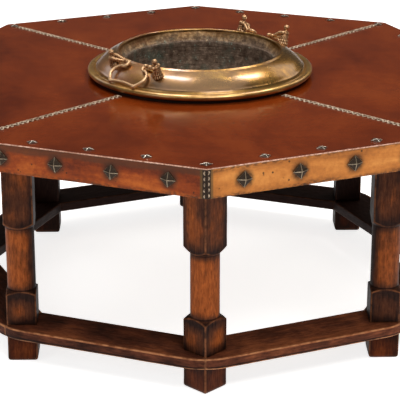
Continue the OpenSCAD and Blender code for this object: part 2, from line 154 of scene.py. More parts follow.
# %% [markdown]
# ## A short way to write node trees
#
# Materials and Geometry Nodes are both node trees. They could be wired one line at a time, but the
# sums would be lost in it. These small classes add nodes and link them, so that each finish below
# reads as a list of what it does. What a node gives out can be added and multiplied like a number.
# Fed to another node it is linked, and anything else is set as a constant.

# %% Node tree helpers
def sum_of(operation, swap=False):
    """A method that adds the math node for one operation, with its two sides swapped where asked."""
    def work_out(self, other):
        return self.nodes.math(operation, *((other, self) if swap else (self, other)))
    return work_out


class Value:
    """What a node gives out. A sum with it adds the node that works the sum out."""

    def __init__(self, nodes, socket):
        self.nodes, self.socket = nodes, socket

    def __abs__(self):
        return self.nodes.math("ABSOLUTE", self)

    __add__, __radd__ = sum_of("ADD"), sum_of("ADD", True)
    __sub__, __rsub__ = sum_of("SUBTRACT"), sum_of("SUBTRACT", True)
    __mul__, __rmul__ = sum_of("MULTIPLY"), sum_of("MULTIPLY", True)
    __truediv__, __pow__ = sum_of("DIVIDE"), sum_of("POWER")


class Nodes:
    def __init__(self, tree):
        self.tree = tree

    def feed(self, socket, value):
        if isinstance(value, Value):
            self.tree.links.new(value.socket, socket)
        elif value is not None:
            socket.default_value = value

    def node(self, kind, inputs=(), **settings):
        made = self.tree.nodes.new(kind)
        for key, value in settings.items():
            setattr(made, key, value)
        for key, value in dict(inputs).items():
            self.feed(made.inputs[key], value)
        return made

    def add(self, kind, inputs=(), out=0, **settings):
        return Value(self, self.node(kind, inputs, **settings).outputs[out])

    def math(self, operation, *values):
        return self.add("ShaderNodeMath", enumerate(values), operation=operation)

    def span(self, value, low, high, to_low=0.0, to_high=1.0, smooth=False):
        """Carries one range over to another, and holds its ends."""
        kind = "SMOOTHSTEP" if smooth else "LINEAR"
        return self.add("ShaderNodeMapRange", enumerate((value, low, high, to_low, to_high)),
                        interpolation_type=kind, clamp=True)

    def split(self, vector):
        return [Value(self, out) for out in self.node("ShaderNodeSeparateXYZ", {0: vector}).outputs]

    def join(self, x=None, y=None, z=None):
        return self.add("ShaderNodeCombineXYZ", enumerate((x, y, z)))


# %% Finishes
class Finish(Nodes):
    """A material, built by methods that are named for what they do."""

    def __init__(self, name, **constants):
        self.material = bpy.data.materials.new(name)
        self.material.use_nodes = True
        super().__init__(self.material.node_tree)
        self.shader = self.tree.nodes["Principled BSDF"].inputs
        for key, value in constants.items():
            self.shader[key.replace("_", " ")].default_value = value

    def place(self, scale=(1, 1, 1), turn=(0, 0, 0), source=None):
        """Where a point is on the object, scaled and turned for a pattern."""
        source = source or self.add("ShaderNodeTexCoord", out="Object")
        return self.add("ShaderNodeMapping", {"Vector": source, "Scale": scale, "Rotation": turn})

    def grain(self, scale=(1, 1, 1)):
        """Where a point is along the piece's own grain, scaled for a pattern."""
        source = self.add("ShaderNodeAttribute", out="Vector", attribute_name="grain")
        return self.place(scale, source=source)

    def attribute(self, name):
        return self.add("ShaderNodeAttribute", out="Fac", attribute_name=name)

    def noise(self, where, scale, detail=4.0, rough=0.55, bend=0.0):
        inputs = {"Vector": where, "Scale": scale, "Detail": detail, "Roughness": rough, "Distortion": bend}
        return self.add("ShaderNodeTexNoise", inputs, out="Fac")

    def cells(self, where, scale):
        return self.add("ShaderNodeTexVoronoi", {"Vector": where, "Scale": scale}, out="Distance")

    def ramp(self, value, *stops):
        """Stops are (position, colour): the two ends first, then one between them."""
        node = self.node("ShaderNodeValToRGB", {"Fac": value})
        marks = node.color_ramp.elements
        for n, (at, colour) in enumerate(stops):
            mark = marks[n] if n < 2 else marks.new(at)
            mark.position = at
            mark.color = (*colour, 1)
        return Value(self, node.outputs[0])

    def mix(self, amount, first, second, blend="MIX"):
        first, second = [(*c, 1) if isinstance(c, tuple) else c for c in (first, second)]
        return self.add("ShaderNodeMix", {0: amount, 6: first, 7: second}, out=2,
                        data_type="RGBA", blend_type=blend, clamp_factor=True)

    def bump(self, *layers):
        """Each layer is (height, strength, depth in metres)."""
        normal = None
        for height, strength, depth in layers:
            normal = self.add("ShaderNodeBump", {"Height": height, "Strength": strength,
                                                 "Distance": depth, "Normal": normal})
        self.feed(self.shader["Normal"], normal)

    def done(self, colour=None, roughness=None, metallic=None):
        for key, value in (("Base Color", colour), ("Roughness", roughness), ("Metallic", metallic)):
            self.feed(self.shader[key], value)
        return self.material


f = Finish("pale_floor", Roughness=0.75, Specular_IOR_Level=0.1, Emission_Color=(1, 1, 1, 1),
           Emission_Strength=0.80)
floor.data.materials.append(f.done(f.mix(f.noise(f.place(), 0.4), (0.86, 0.86, 0.86), (0.90, 0.90, 0.89))))
print("floor finish:", len(f.tree.nodes), "nodes")


# %% [markdown]
# ## Helpers for shapes
#
# Age shows most at edges: they are knocked and rubbed bare, while hollows gather dirt and stain,
# and some finishes darken the hollows further as painted shade.
# Cycles can tell the one from the other, but its answer changes with how fine a mesh is. So each
# mesh carries an "edge" value at every point, measured against a radius: a half on a flat face,
# more where the surface is convex and less in a hollow. The materials read it.

# %% Values at points
def array_of(items, key, width, kind="f"):
    values = np.zeros(len(items) * width, kind)
    items.foreach_get(key, values)
    return values.reshape(-1, width)


def set_attribute(mesh, name, values):
    values = np.asarray(values, "f")
    kind, key = ("FLOAT_VECTOR", "vector") if values.ndim == 2 else ("FLOAT", "value")
    mesh.attributes.new(name, kind, "POINT").data.foreach_set(key, values.ravel())


def points_of(mesh):
    return array_of(mesh.vertices, "co", 3).astype(float)


def mark_edges(mesh, radius, rounds=1):
    """Stores how convex the surface is, against the given radius of rounding."""
    co, normal = points_of(mesh), array_of(mesh.vertex_normals, "vector", 3)
    a, b = array_of(mesh.edges, "vertices", 2, "i").T
    step = co[b] - co[a]
    length = np.maximum((step ** 2).sum(1), 1e-12)
    total, count = np.zeros(len(co)), np.zeros(len(co))
    for at, sign in ((a, 1), (b, -1)):
        np.add.at(total, at, -2 * sign * (normal[at] * step).sum(1) / length)
        np.add.at(count, at, 1)
    value = total / np.maximum(count, 1)
    for _ in range(rounds):
        total = value.copy()
        np.add.at(total, a, value[b])
        np.add.at(total, b, value[a])
        value = total / (count + 1)
    set_attribute(mesh, "edge", np.clip(0.5 + value * radius / 2, 0, 1))


def rumple(points, scale, seed):
    """Smooth, repeatable noise between -1 and 1 for an array of points."""
    rng = np.random.default_rng(seed)
    total = np.zeros(len(points))
    for _ in range(14):
        way = rng.normal(size=3) * scale
        total += np.sin(points @ way + rng.uniform(0, 6.283)) * rng.uniform(0.4, 1)
    return total / 5


# %% Points, faces and pieces
def turned(points, angle):
    c, s = math.cos(angle), math.sin(angle)
    x, y = points[:, 0], points[:, 1]
    return np.column_stack([x * c - y * s, x * s + y * c, points[:, 2]])


def spin(section, around):
    """A ring of points round the upright axis for each (radius, height) of a section."""
    turns = [2 * math.pi * c / around for c in range(around)]
    return [(r * math.cos(a), r * math.sin(a), z) for r, z in section for a in turns]


def grid_faces(rows, columns, wrap=False):
    faces = []
    for r in range(rows - 1):
        for c in range(columns if wrap else columns - 1):
            d = (c + 1) % columns
            faces.append((r * columns + c, r * columns + d, (r + 1) * columns + d, (r + 1) * columns + c))
    return faces


def loft_faces(rows, columns):
    """The faces through a row of rings, closed by a flat face at each end."""
    last = (rows - 1) * columns
    ends = [tuple(range(columns - 1, -1, -1)), tuple(range(last, last + columns))]
    return grid_faces(rows, columns, wrap=True) + ends


def new_mesh(name, points, faces):
    """A smooth mesh with its points merged and its faces turned outwards."""
    mesh = bpy.data.meshes.new(name)
    mesh.from_pydata([tuple(p) for p in points], [], [tuple(f) for f in faces])
    mesh.validate()
    shape = bmesh.new()
    shape.from_mesh(mesh)
    bmesh.ops.remove_doubles(shape, verts=shape.verts, dist=1e-7)
    bmesh.ops.recalc_face_normals(shape, faces=shape.faces)
    shape.to_mesh(mesh)
    shape.free()
    mesh.polygons.foreach_set("use_smooth", [True] * len(mesh.polygons))
    return mesh


def new_piece(mesh, body, nodes, materials=()):
    """Puts a mesh on a body of the frame, in place of the nodes that it dresses."""
    piece = add_object(mesh.name, mesh)
    for material in materials:
        mesh.materials.append(material)
    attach(piece, body)
    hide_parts(*nodes)
    return piece


def face_count(pieces):
    return sum(len(piece.data.polygons) for piece in pieces)


def settled(holder):
    """The mesh that an object's modifiers make of it. The object itself is taken away."""
    bpy.context.view_layer.update()
    view = bpy.context.evaluated_depsgraph_get()
    made = bpy.data.meshes.new_from_object(holder.evaluated_get(view), preserve_all_data_layers=True,
                                           depsgraph=view)
    bpy.data.objects.remove(holder)
    return made


# %% Geometry Nodes helper
class Shaper(Nodes):
    """A Geometry Nodes tree with named inputs, run once on a mesh and turned into a plain mesh."""

    def __init__(self, name, **sizes):
        tree = bpy.data.node_groups.new(name, "GeometryNodeTree")
        super().__init__(tree)
        kinds = {float: "Float", int: "Int", tuple: "Vector", bpy.types.Material: "Material"}
        tree.interface.new_socket("Geometry", in_out="INPUT", socket_type="NodeSocketGeometry")
        for key, value in sizes.items():
            kind = "NodeSocket" + kinds[type(value)]
            socket = tree.interface.new_socket(key.replace("_", " "), in_out="INPUT", socket_type=kind)
            socket.default_value = value
        tree.interface.new_socket("Geometry", in_out="OUTPUT", socket_type="NodeSocketGeometry")
        self.given = {out.name: Value(self, out) for out in self.node("NodeGroupInput").outputs}
        self.end = self.node("NodeGroupOutput").inputs[0]

    def position(self):
        return self.split(self.add("GeometryNodeInputPosition"))

    def moved(self, geometry, step, turn=None):
        inputs = {"Geometry": geometry, "Translation": step, "Rotation": turn}
        return self.add("GeometryNodeTransform", inputs)

    def together(self, parts):
        node = self.node("GeometryNodeJoinGeometry")
        for part in parts:
            self.feed(node.inputs[0], part)
        return Value(self, node.outputs[0])

    def store(self, geometry, name, value, kind="FLOAT"):
        inputs = {"Geometry": geometry, "Name": name, "Value": value}
        return self.add("GeometryNodeStoreNamedAttribute", inputs, data_type=kind, domain="POINT")

    def scatter(self, instance, most, scale=None):
        """An instance on each point, turned by the point's own "turn" and a small random swing."""
        inputs = {0: tuple(-v for v in most), 1: most, "Seed": self.given["Seed"]}
        swing = self.add("FunctionNodeRandomValue", inputs, data_type="FLOAT_VECTOR")
        turn = self.add("GeometryNodeInputNamedAttribute", {"Name": "turn"}, data_type="FLOAT_VECTOR")
        own = self.add("FunctionNodeRotateEuler", {"Rotation": swing, "Rotate By": turn})
        inputs = {"Points": self.given["Geometry"], "Instance": instance, "Rotation": own, "Scale": scale}
        return self.add("GeometryNodeInstanceOnPoints", inputs)

    def finish(self, geometry, smooth=True):
        real = self.add("GeometryNodeRealizeInstances", {"Geometry": geometry})
        flat = self.add("GeometryNodeSetShadeSmooth", {"Geometry": real, "Shade Smooth": smooth})
        inputs = {"Geometry": flat, "Material": self.given["Finish"]}
        self.feed(self.end, self.add("GeometryNodeSetMaterial", inputs))
        return self

    def run(self, name, mesh, **values):
        """The finished mesh. Inputs are set by their identifiers before the tree is evaluated."""
        holder = add_object(name, mesh)
        modifier = holder.modifiers.new("shaper", "NODES")
        modifier.node_group = self.tree
        for item in self.tree.interface.items_tree:
            key = item.name.replace(" ", "_")
            if item.in_out == "INPUT" and key in values:
                modifier[item.identifier] = values[key]
        made = settled(holder)
        made.name = name
        return made


print("helpers are ready")


# %% [markdown]
# ## Stained wood
#
# The legs, feet and ring are hardwood under a red-brown stain. The stain is darkest near the
# borders of each face and rubbed through where hands and shoes meet it. The hollows are darkened,
# partly by dirt and partly as painted shade, and the sides towards the middle of the table are
# darkened as painted shade under the table. A painted picture could show all this, but it would
# have to be fitted to 24 pieces one by one. Noises stretched along the wood suit every piece, once
# its points say where they are on it. Three values on each point do so: "grain", a place measured
# along the wood, "tone", from 0 at a border to 1 in the middle of a face and below 0 where the
# wood is darkened as painted shade under the table and on the boards' undersides, and "edge".

# %% Wood finish
def stained_wood(name, dark, middle, light, worn):
    f = Finish(name, Specular_IOR_Level=0.06)
    along = f.grain()
    patch = f.noise(along, 15, 5, 0.62)
    fibre = f.noise(f.grain((9, 120, 120)), 1.0, 5, 0.6, 0.4)
    fleck = f.noise(f.grain((52, 250, 250)), 1.0, 4, 0.62)
    pores = f.noise(f.grain((90, 900, 900)), 1.0, 3, 0.5)
    edge, tone = f.attribute("edge"), f.attribute("tone")
    # Where tone is below 0 the colour runs darker still: painted shade under the table.
    stain_and_shade = f.span(tone + (patch - 0.5) * 1.35 + (fibre - 0.5) * 0.66, 0.08, 0.92)
    colour = f.ramp(stain_and_shade, (0.0, dark), (1.0, light), (0.5, middle))
    flecks = f.ramp(fleck, (0.35, (1.60, 1.66, 1.60)), (0.63, (0.46, 0.42, 0.40)), (0.5, (1.0, 1.0, 1.0)))
    colour = f.mix(0.54, colour, flecks, "MULTIPLY")
    colour = f.mix(f.span(pores, 0.60, 0.70, 0, 0.6), colour, (0.012, 0.005, 0.003))
    # Hollows are darkened nearly to black, partly as dirt and partly as painted shade.
    colour = f.mix(f.span(edge, 0.46, 0.28, 0, 0.85), colour, (0.010, 0.004, 0.002))
    rubbed = f.span(edge, 0.58, 0.82) * f.span(f.noise(along, 60, 4), 0.38, 0.58, 0.2, 1.0)
    # Rubbed edges fade out where tone is below 0, inside the painted shade under the table.
    colour = f.mix(rubbed * f.span(tone, -0.3, -0.02, 0.08, 1.0), colour, worn)
    f.bump((fleck, 0.22, 0.0008), (pores, 0.15, 0.0005), (patch, 0.15, 0.002))
    return f.done(colour, f.span(fleck + patch * 0.6, 0.5, 1.1, 0.38, 0.64))


leg_wood = stained_wood("leg_wood", dark=(0.016, 0.0062, 0.0042), middle=(0.076, 0.0222, 0.0084),
                        light=(0.24, 0.058, 0.0118), worn=(0.18, 0.064, 0.026))
foot_wood = stained_wood("foot_wood", dark=(0.013, 0.0034, 0.0012), middle=(0.056, 0.0105, 0.0022),
                         light=(0.12, 0.025, 0.0045), worn=(0.15, 0.052, 0.022))
ring_board_wood = stained_wood("ring_board_wood", dark=(0.016, 0.0058, 0.0040),
                               middle=(0.090, 0.0260, 0.0128), light=(0.215, 0.064, 0.0245),
                               worn=(0.44, 0.19, 0.085))
print("wood finishes:", leg_wood.name, foot_wood.name, ring_board_wood.name)


# %% [markdown]
# ## Legs and feet
#
# A leg was planed square, then turned on a lathe between its two blocks. A square bar and a turned
# one could be cut with a Boolean modifier, but the arris where they meet would be sharp and its
# faces ragged. So the work follows the rule that the lathe obeys: the radius at any height is the
# smaller of two things, how far the square reaches in that direction and how much the lathe has
# left. The node tree below works that out for every point of a plain tube. Feet follow it too,
# with the square drawn in near the floor where shoes have rounded it.

# %% The lathe as a node tree
SHAFT_LOW, SHAFT_HIGH = 0.149, 0.304
SQUARENESS = 90.0
SHOULDER_BLEND = 0.0014


def turning_tree():
    t = Shaper("turning", Stock_Width=LEG_W, Wide_Radius=0.043, Shaft_Radius=0.0295,
               Low_Shoulder=SHAFT_LOW, Low_Height=0.008, High_Shoulder=SHAFT_HIGH, High_Height=0.012,
               Bottom=0.0, Bottom_Round=0.0, Wear=0.0001, Seed=0,
               Place=(0.0, 0.0, 0.0), Turn=(0.0, 0.0, 0.0), Finish=foot_wood)
    size = t.given
    x, y, z = t.position()
    # The points are drawn together towards the corners of the square.
    angle = t.math("ARCTAN2", y, x)
    angle = angle + t.math("SINE", angle * 4.0) * 0.15
    cosine, sine = t.math("COSINE", angle), t.math("SINE", angle)
    # The square reaches out to half its width, or further towards its slightly worn corners.
    up = t.math("MAXIMUM", size["Bottom Round"] - (z - size["Bottom"]), 0.0)
    across = t.math("SQRT", t.math("MAXIMUM", size["Bottom Round"] ** 2.0 - up ** 2.0, 0.0))
    half = size["Stock Width"] * 0.5 - (size["Bottom Round"] - across)
    square = half / (abs(cosine) ** SQUARENESS + abs(sine) ** SQUARENESS) ** (1 / SQUARENESS)
    low_end = size["Low Shoulder"] + size["Low Height"]
    high_end = size["High Shoulder"] - size["High Height"]
    below = t.span(z, size["Low Shoulder"], low_end, size["Wide Radius"], size["Shaft Radius"])
    above = t.span(z, high_end, size["High Shoulder"], size["Shaft Radius"], size["Wide Radius"])
    radius = t.math("SMOOTH_MIN", square, t.math("MAXIMUM", below, above), SHOULDER_BLEND)
    # A little unevenness, stronger at the arrises where the wood is knocked.
    inputs = {0: t.join(cosine, sine, z * 14.0), 1: t.join(z=size["Seed"] * 7.3)}
    where = t.add("ShaderNodeVectorMath", inputs, operation="ADD")
    knocks = t.add("ShaderNodeTexNoise", {"Vector": where, "Scale": 2.2, "Detail": 4.0})
    reach = t.span(radius / half, 1.15, 1.38, 0.35, 1.6)
    radius = radius - size["Wear"] * t.span(knocks, 0.35, 0.7, 0.0, 2.0) * reach
    out = angle + math.pi / 4
    local = t.join(radius * t.math("COSINE", out), radius * t.math("SINE", out), z)
    shaped = t.add("GeometryNodeSetPosition", {"Geometry": size["Geometry"], "Position": local})
    kept = t.store(shaped, "local", t.add("GeometryNodeInputPosition"), "FLOAT_VECTOR")
    return t.finish(t.moved(kept, size["Place"], size["Turn"]))


turning = turning_tree()
print("turning tree:", len(turning.tree.nodes), "nodes")


# %% Tone of a turned part
def steps(*marks):
    """Heights from (start, stop, count) runs, each without its last."""
    return [a + (b - a) * i / n for a, b, n in marks for i in range(n)] + [marks[-1][1]]


def border_tone(local, zones):
    """1 in the middle of each face of a block, 0 at its borders; shafts are rubbed all round."""
    x, y, z = local.T
    u, v = (x + y) / math.sqrt(2), (x - y) / math.sqrt(2)
    across = np.minimum(np.abs(u), np.abs(v)) / np.maximum(np.abs(u), np.abs(v))
    tone = np.zeros(len(z))
    for low, high, square, level in zones:
        along = np.clip(np.minimum(z - low, high - z) / 0.022, 0, 1)
        side = 1 - 0.75 * across ** 2.5 if square else 1.0
        tone = np.where((z >= low) & (z <= high), level * (0.12 + 0.88 * along) * side, tone)
    return tone


def turned_part(node, ending, i, heights, zones, shade, grain_from, edge, slot, **sizes):
    """A tube with a ring of points at each height, turned to shape at a corner of the table."""
    out = corner_angle(i)
    around = 80
    blank = new_mesh("blank", spin([(0.04, z) for z in heights], around), loft_faces(len(heights), around))
    mesh = turning.run(f"{node}_{ending}", blank, Turn=(0.0, 0.0, out),
                       Place=(LEG_R * math.cos(out), LEG_R * math.sin(out), 0.0), **sizes)
    local = array_of(mesh.attributes["local"].data, "vector", 3).astype(float)
    # The half that faces the middle of the table is darkened as painted shade under the table.
    inner = np.clip(0.35 - local[:, 0] / 0.03, 0, 1)
    fade, dark = shade
    set_attribute(mesh, "tone", border_tone(local, zones) * (1 - fade * inner) - dark * inner)
    set_attribute(mesh, "grain", np.column_stack([local[:, 2], local[:, 0], local[:, 1]]) + grain_from)
    mark_edges(mesh, edge)
    mesh.attributes.remove(mesh.attributes["local"])
    return new_piece(mesh, "table", [node])


# %% Turn the legs
LEG_SEEN_TO = 0.45
LEG_HEIGHTS = steps((RING_TOP, RING_TOP + 0.004, 2), (RING_TOP + 0.004, SHAFT_LOW - 0.003, 7),
                    (SHAFT_LOW - 0.003, SHAFT_LOW + 0.011, 12), (SHAFT_LOW + 0.011, SHAFT_HIGH - 0.015, 18),
                    (SHAFT_HIGH - 0.015, SHAFT_HIGH + 0.003, 14),
                    (SHAFT_HIGH + 0.003, BOARD_UNDER - 0.0002, 18))


def turn_leg(i):
    level = {0: 1.0, 1: 0.70, 7: 0.95}.get(i, 0.8)
    block, shaft, shaft_end = 0.62 * level, 0.95 * level, SHAFT_HIGH - 0.006
    zones = [(RING_TOP, SHAFT_LOW, True, block), (SHAFT_LOW, shaft_end, False, shaft),
             (shaft_end, LEG_SEEN_TO, True, block)]
    return turned_part(f"leg_{CORNERS[i]}", "turned", i, LEG_HEIGHTS, zones, (0.9, 0.45), (0.9 * i, 0, 0),
                       0.004, "leg_wood", Seed=i, Finish=leg_wood)


legs = [turn_leg(i) for i in range(8)]
print("legs:", face_count(legs), "faces")

# %% Shape the feet
FOOT_HEIGHTS = steps((0.0, 0.0007, 3), (0.0007, 0.0105, 8), (0.0105, RING_LOW - 0.004, 10),
                     (RING_LOW - 0.004, RING_LOW - 0.0002, 3))


def shape_foot(i):
    zones = [(-0.01, RING_LOW + 0.001, True, 0.75)]
    return turned_part(f"foot_{CORNERS[i]}", "worn", i, FOOT_HEIGHTS, zones, (0.0, 0.6), (0.7 * i, 0, 3),
                       0.005, "foot_wood", Seed=i + 20, Finish=foot_wood, Bottom_Round=0.0095,
                       Low_Shoulder=1.0, High_Shoulder=-1.0, Wear=0.0002)


feet = [shape_foot(i) for i in range(8)]
print("feet:", face_count(feet), "faces")


# %% [markdown]
# ## The foot ring
#
# Eight boards, mitred at the corners under the legs, whose outer corners have been rounded over by
# feet. A box with its edges bevelled would do for the middle of a board but not for such a corner.
# So each is a loft: a rounded rectangle carried from one mitre to the other, whose inner and outer
# ends follow the board's outline.

# %% Section of a board
RING_OVERHANG, BOARD_WIDTH, CORNER_CUT, MITRE_GAP = 0.015, 0.103, 0.010, 0.00015
RING_CORNER = LEG_R + LEG_W / math.sqrt(2) + RING_OVERHANG
RING_FLAT = RING_CORNER * math.cos(HALF_STEP)
RING_INNER = RING_FLAT - BOARD_WIDTH
RING_CUT = RING_CORNER - CORNER_CUT


def smooth_min(a, b, reach):
    h = np.clip(0.5 + 0.5 * (b - a) / reach, 0, 1)
    return b * (1 - h) + a * h - reach * h * (1 - h)


def rounded_section(radius, columns, turns=4):
    """A closed loop of (across 0..1, offset inwards, up 0..1, offset down) round a board's section."""
    arc = [math.pi / 2 * n / turns for n in range(turns + 1)]
    loop = [(c / columns, 0.0, 1, 0.0) for c in range(1, columns)]
    loop += [(1, -radius * (1 - math.sin(a)), 1, -radius * (1 - math.cos(a))) for a in arc]
    loop += [(1, 0.0, 1 - m / 6, 0.0) for m in range(1, 6)]
    loop += [(1, -radius * (1 - math.cos(a)), 0, radius * (1 - math.sin(a))) for a in arc]
    loop += [(c / columns, 0.0, 0, 0.0) for c in range(columns - 1, 0, -1)]
    loop += [(0, radius * (1 - math.sin(a)), 0, radius * (1 - math.cos(a))) for a in arc]
    loop += [(0, 0.0, m / 6, 0.0) for m in range(1, 6)]
    loop += [(0, radius * (1 - math.cos(a)), 1, -radius * (1 - math.sin(a))) for a in arc]
    return loop


print(f"ring: {2 * RING_FLAT:.3f} across its flats, in boards {BOARD_WIDTH:.3f} wide")


# %% Shape the ring's boards
def ring_board(k):
    reach = RING_CUT * math.sin(HALF_STEP)
    inner_half = RING_INNER * math.tan(HALF_STEP)
    stations = np.sin(np.linspace(-1, 1, 91) * math.pi / 2) * 0.35 + np.linspace(-1, 1, 91) * 0.65
    loop = rounded_section(0.0028, 14)
    points = []
    for t in stations:
        y_out, y_in = t * (reach - MITRE_GAP), t * (inner_half - MITRE_GAP)
        cut = (RING_CUT - abs(y_out) * math.sin(HALF_STEP)) / math.cos(HALF_STEP)
        a, b = np.array([RING_INNER, y_in]), np.array([float(smooth_min(RING_FLAT, cut, 0.007)), y_out])
        way = (b - a) / np.linalg.norm(b - a)
        for across, inset, up, drop in loop:
            p = a + (b - a) * across + way * inset
            points.append((p[0], p[1], RING_LOW + (RING_TOP - RING_LOW) * up + drop))
    local = np.array(points)
    # The outer edge is uneven, most where shoes rub it above and below.
    near_edge = np.clip((local[:, 0] - RING_FLAT + 0.03) / 0.03, 0, 1)
    pull = near_edge * (0.5 + 0.5 * rumple(local, 60, k)) * 0.0011
    local[:, 0] -= np.where(np.abs(local[:, 2] - (RING_TOP + RING_LOW) / 2) > 0.006, pull, pull * 0.5)
    faces = loft_faces(len(stations), len(loop))
    mesh = new_mesh(f"ring_board_{k}_worn", turned(local, side_angle(k)), faces)
    back = turned(points_of(mesh), -side_angle(k))
    outward = np.clip((back[:, 0] - RING_INNER) / (RING_FLAT - RING_INNER), 0, 1)
    ends = np.clip((reach - np.abs(back[:, 1])) / 0.09, 0, 1)
    upright = (back[:, 2] < RING_TOP - 0.003) & (outward > 0.9)
    tone = np.where(upright, 0.32, 0.20 + 0.50 * outward ** 4 * (0.5 + 0.5 * ends) + 0.12 * ends)
    tone = np.where(back[:, 2] < RING_LOW + 0.004, -0.15, tone)
    # The back boards are darkened as painted shade under the table, all but their outer face and outer top
    # edge.
    rear = -0.85 * np.clip((0.97 - outward) / 0.12, 0, 1)
    set_attribute(mesh, "tone", tone + {1: 0.24, 8: 0.0, 2: 0.0, 7: 0.0}.get(k, rear))
    set_attribute(mesh, "grain", np.column_stack([back[:, 1] + 1.3 * k, back[:, 0], back[:, 2]]))
    mark_edges(mesh, 0.004)
    return new_piece(mesh, "table", [f"stretcher_{k}"], [ring_board_wood])


ring_boards = [ring_board(k) for k in range(1, 9)]
print("ring boards:", face_count(ring_boards), "faces")


# %% [markdown]
# ## Leather
#
# The top is vegetable-tanned hide, dyed red-brown and waxed until it shines. The dye has taken
# unevenly, so the colour drifts in soft clouds and streaks, and "hide" tells the quarters apart.
# The sides are the same hide, dyed lighter, with dark rings round the nails, specks, and a dark
# strip along the top of some bands. A picture of leather would show repeats on so wide a top, so
# noises are laid over each other, and values at the points tell them where they are: "halo" holds
# how near a nail is, "rise" the height up the side, "corner" how near its end is, and "handled"
# how near the front corner, where hands have darkened it.

# %% Leather of the top
def top_leather_finish():
    f = Finish("top_leather", Specular_IOR_Level=0.16)
    clouds = f.noise(f.place((1.4, 0.7, 1.0), (0, 0, 0.5)), 4.5, 4, 0.6, 0.4)
    streaks = f.noise(f.place((1.6, 5.0, 1.0), (0, 0, 0.35)), 5.0, 4, 0.6, 0.4)
    fine = f.noise(f.place(), 55, 6, 0.65)
    value = clouds * 0.74 + (streaks * 0.14 + fine * 0.12) + f.attribute("hide")
    colour = f.ramp(value, (0.32, (0.084, 0.0112, 0.0016)), (0.72, (0.205, 0.037, 0.0054)),
                    (0.50, (0.142, 0.0215, 0.0030)))
    halo = f.span(f.attribute("halo") + (fine - 0.5) * 0.5, 0.35, 0.95, 0, 0.8, True)
    f.bump((f.noise(f.place(), 420, 3, 0.6), 0.10, 0.0006), (fine, 0.10, 0.0015), (clouds, 0.25, 0.004))
    shine = f.span(clouds + fine * 0.4, 0.5, 0.95, 0.1, 0.2)
    return f.done(f.mix(halo, colour, (0.035, 0.010, 0.006)), shine)


def raw_edge_finish():
    f = Finish("leather_raw_edge", Specular_IOR_Level=0.3)
    fray = f.noise(f.place(), 260, 4, 0.6)
    colour = f.ramp(fray, (0.35, (0.28, 0.12, 0.07)), (0.62, (0.70, 0.44, 0.33)))
    f.bump((fray, 0.3, 0.0006))
    blot = f.span(f.noise(f.place(), 9, 4), 0.52, 0.68, 0, 0.75)
    return f.done(f.mix(blot, colour, (0.20, 0.075, 0.035)), 0.6)


top_hide, raw_edge = top_leather_finish(), raw_edge_finish()
print("finishes:", top_hide.name, raw_edge.name)


# %% Leather of the sides
def side_leather_finish(name, dark, middle, light, strip):
    f = Finish(name, Specular_IOR_Level=0.12)
    streaks = f.noise(f.grain((4.0, 26.0, 26.0)), 1.0, 6, 0.6, 0.5)
    clouds = f.noise(f.grain((1, 1.6, 1.6)), 14.0, 5, 0.6, 0.4)
    fine = f.noise(f.grain(), 140, 5, 0.6)
    value = streaks * 0.55 + (clouds * 0.25 + fine * 0.2) - f.attribute("handled") * 0.07
    colour = f.ramp(value, (0.37, dark), (0.64, light), (0.5, middle))
    rare = f.span(f.noise(f.grain(), 30, 2), 0.56, 0.6, 0, 0.85)
    specks = f.span(f.cells(f.grain(), 75.0), 0.2, 0.12)
    colour = f.mix(specks * rare, colour, (0.03, 0.014, 0.006))
    rise = f.attribute("rise") + (clouds - 0.5) * 0.35
    nicks = f.span(f.noise(f.grain((1, 2, 2)), 110, 3), 0.42, 0.58, 0.1, 1.0)
    border = f.math("MAXIMUM", f.span(rise, 0.88, 1.0, 0, 0.8), f.span(rise, 0.16, 0.0, 0, 0.95)) * nicks
    colour = f.mix(border, colour, (0.05, 0.022, 0.010))
    colour = f.mix(f.span(rise + streaks * 0.1, 0.74, 0.88, 0, strip, True), colour, (0.07, 0.025, 0.011))
    soft = f.attribute("halo") + (fine - 0.5) * 0.5
    colour = f.mix(f.span(soft, 0.18, 0.66, 0, 0.9, True), colour, (0.030, 0.015, 0.008))
    corner = f.attribute("corner")
    colour = f.mix(f.span(corner, 0.10, 0.35, 0, 0.75, True), colour, (0.085, 0.058, 0.022))
    colour = f.mix(f.span(corner, 0.44, 0.56, 0, 0.95, True), colour, (0.020, 0.012, 0.008))
    f.bump((f.noise(f.grain(), 500, 3, 0.6), 0.12, 0.0006), (fine, 0.15, 0.001), (clouds, 0.2, 0.003))
    return f.done(colour, f.span(fine, 0.3, 0.7, 0.40, 0.60))


tan_hide = side_leather_finish("side_leather_tan", dark=(0.25, 0.080, 0.017), middle=(0.46, 0.160, 0.033),
                               light=(0.64, 0.265, 0.064), strip=0.0)
orange_hide = side_leather_finish("side_leather_orange", dark=(0.098, 0.0150, 0.0032),
                                  middle=(0.238, 0.042, 0.0060), light=(0.43, 0.106, 0.0160), strip=0.75)
russet_hide = side_leather_finish("side_leather_russet", dark=(0.11, 0.026, 0.008),
                                  middle=(0.22, 0.056, 0.015), light=(0.34, 0.105, 0.030), strip=0.3)
print("finishes:", tan_hide.name, orange_hide.name, russet_hide.name)

# %% [markdown]
# ### Where the nails are
#
# The halos, the dimples and the nails themselves all need the same places, so they are worked out
# once. Each place is a point and the direction that the nail faces.

# %% Nail places
TOP_INSET, TOP_PITCH, SIDE_PITCH = 0.027, 0.120, 0.117


def place_at(x, y, z, angle):
    return (*turned(np.array([[x, y, z]]), angle)[0], angle)


def near_nails(points, nails, reach):
    """1 at a nail, falling to 0 at the given distance."""
    closest = np.full(len(points), 1e9)
    for nail in nails:
        closest = np.minimum(closest, np.linalg.norm(points - np.array(nail[:3]), axis=1))
    return np.clip(1 - closest / reach, 0, 1)


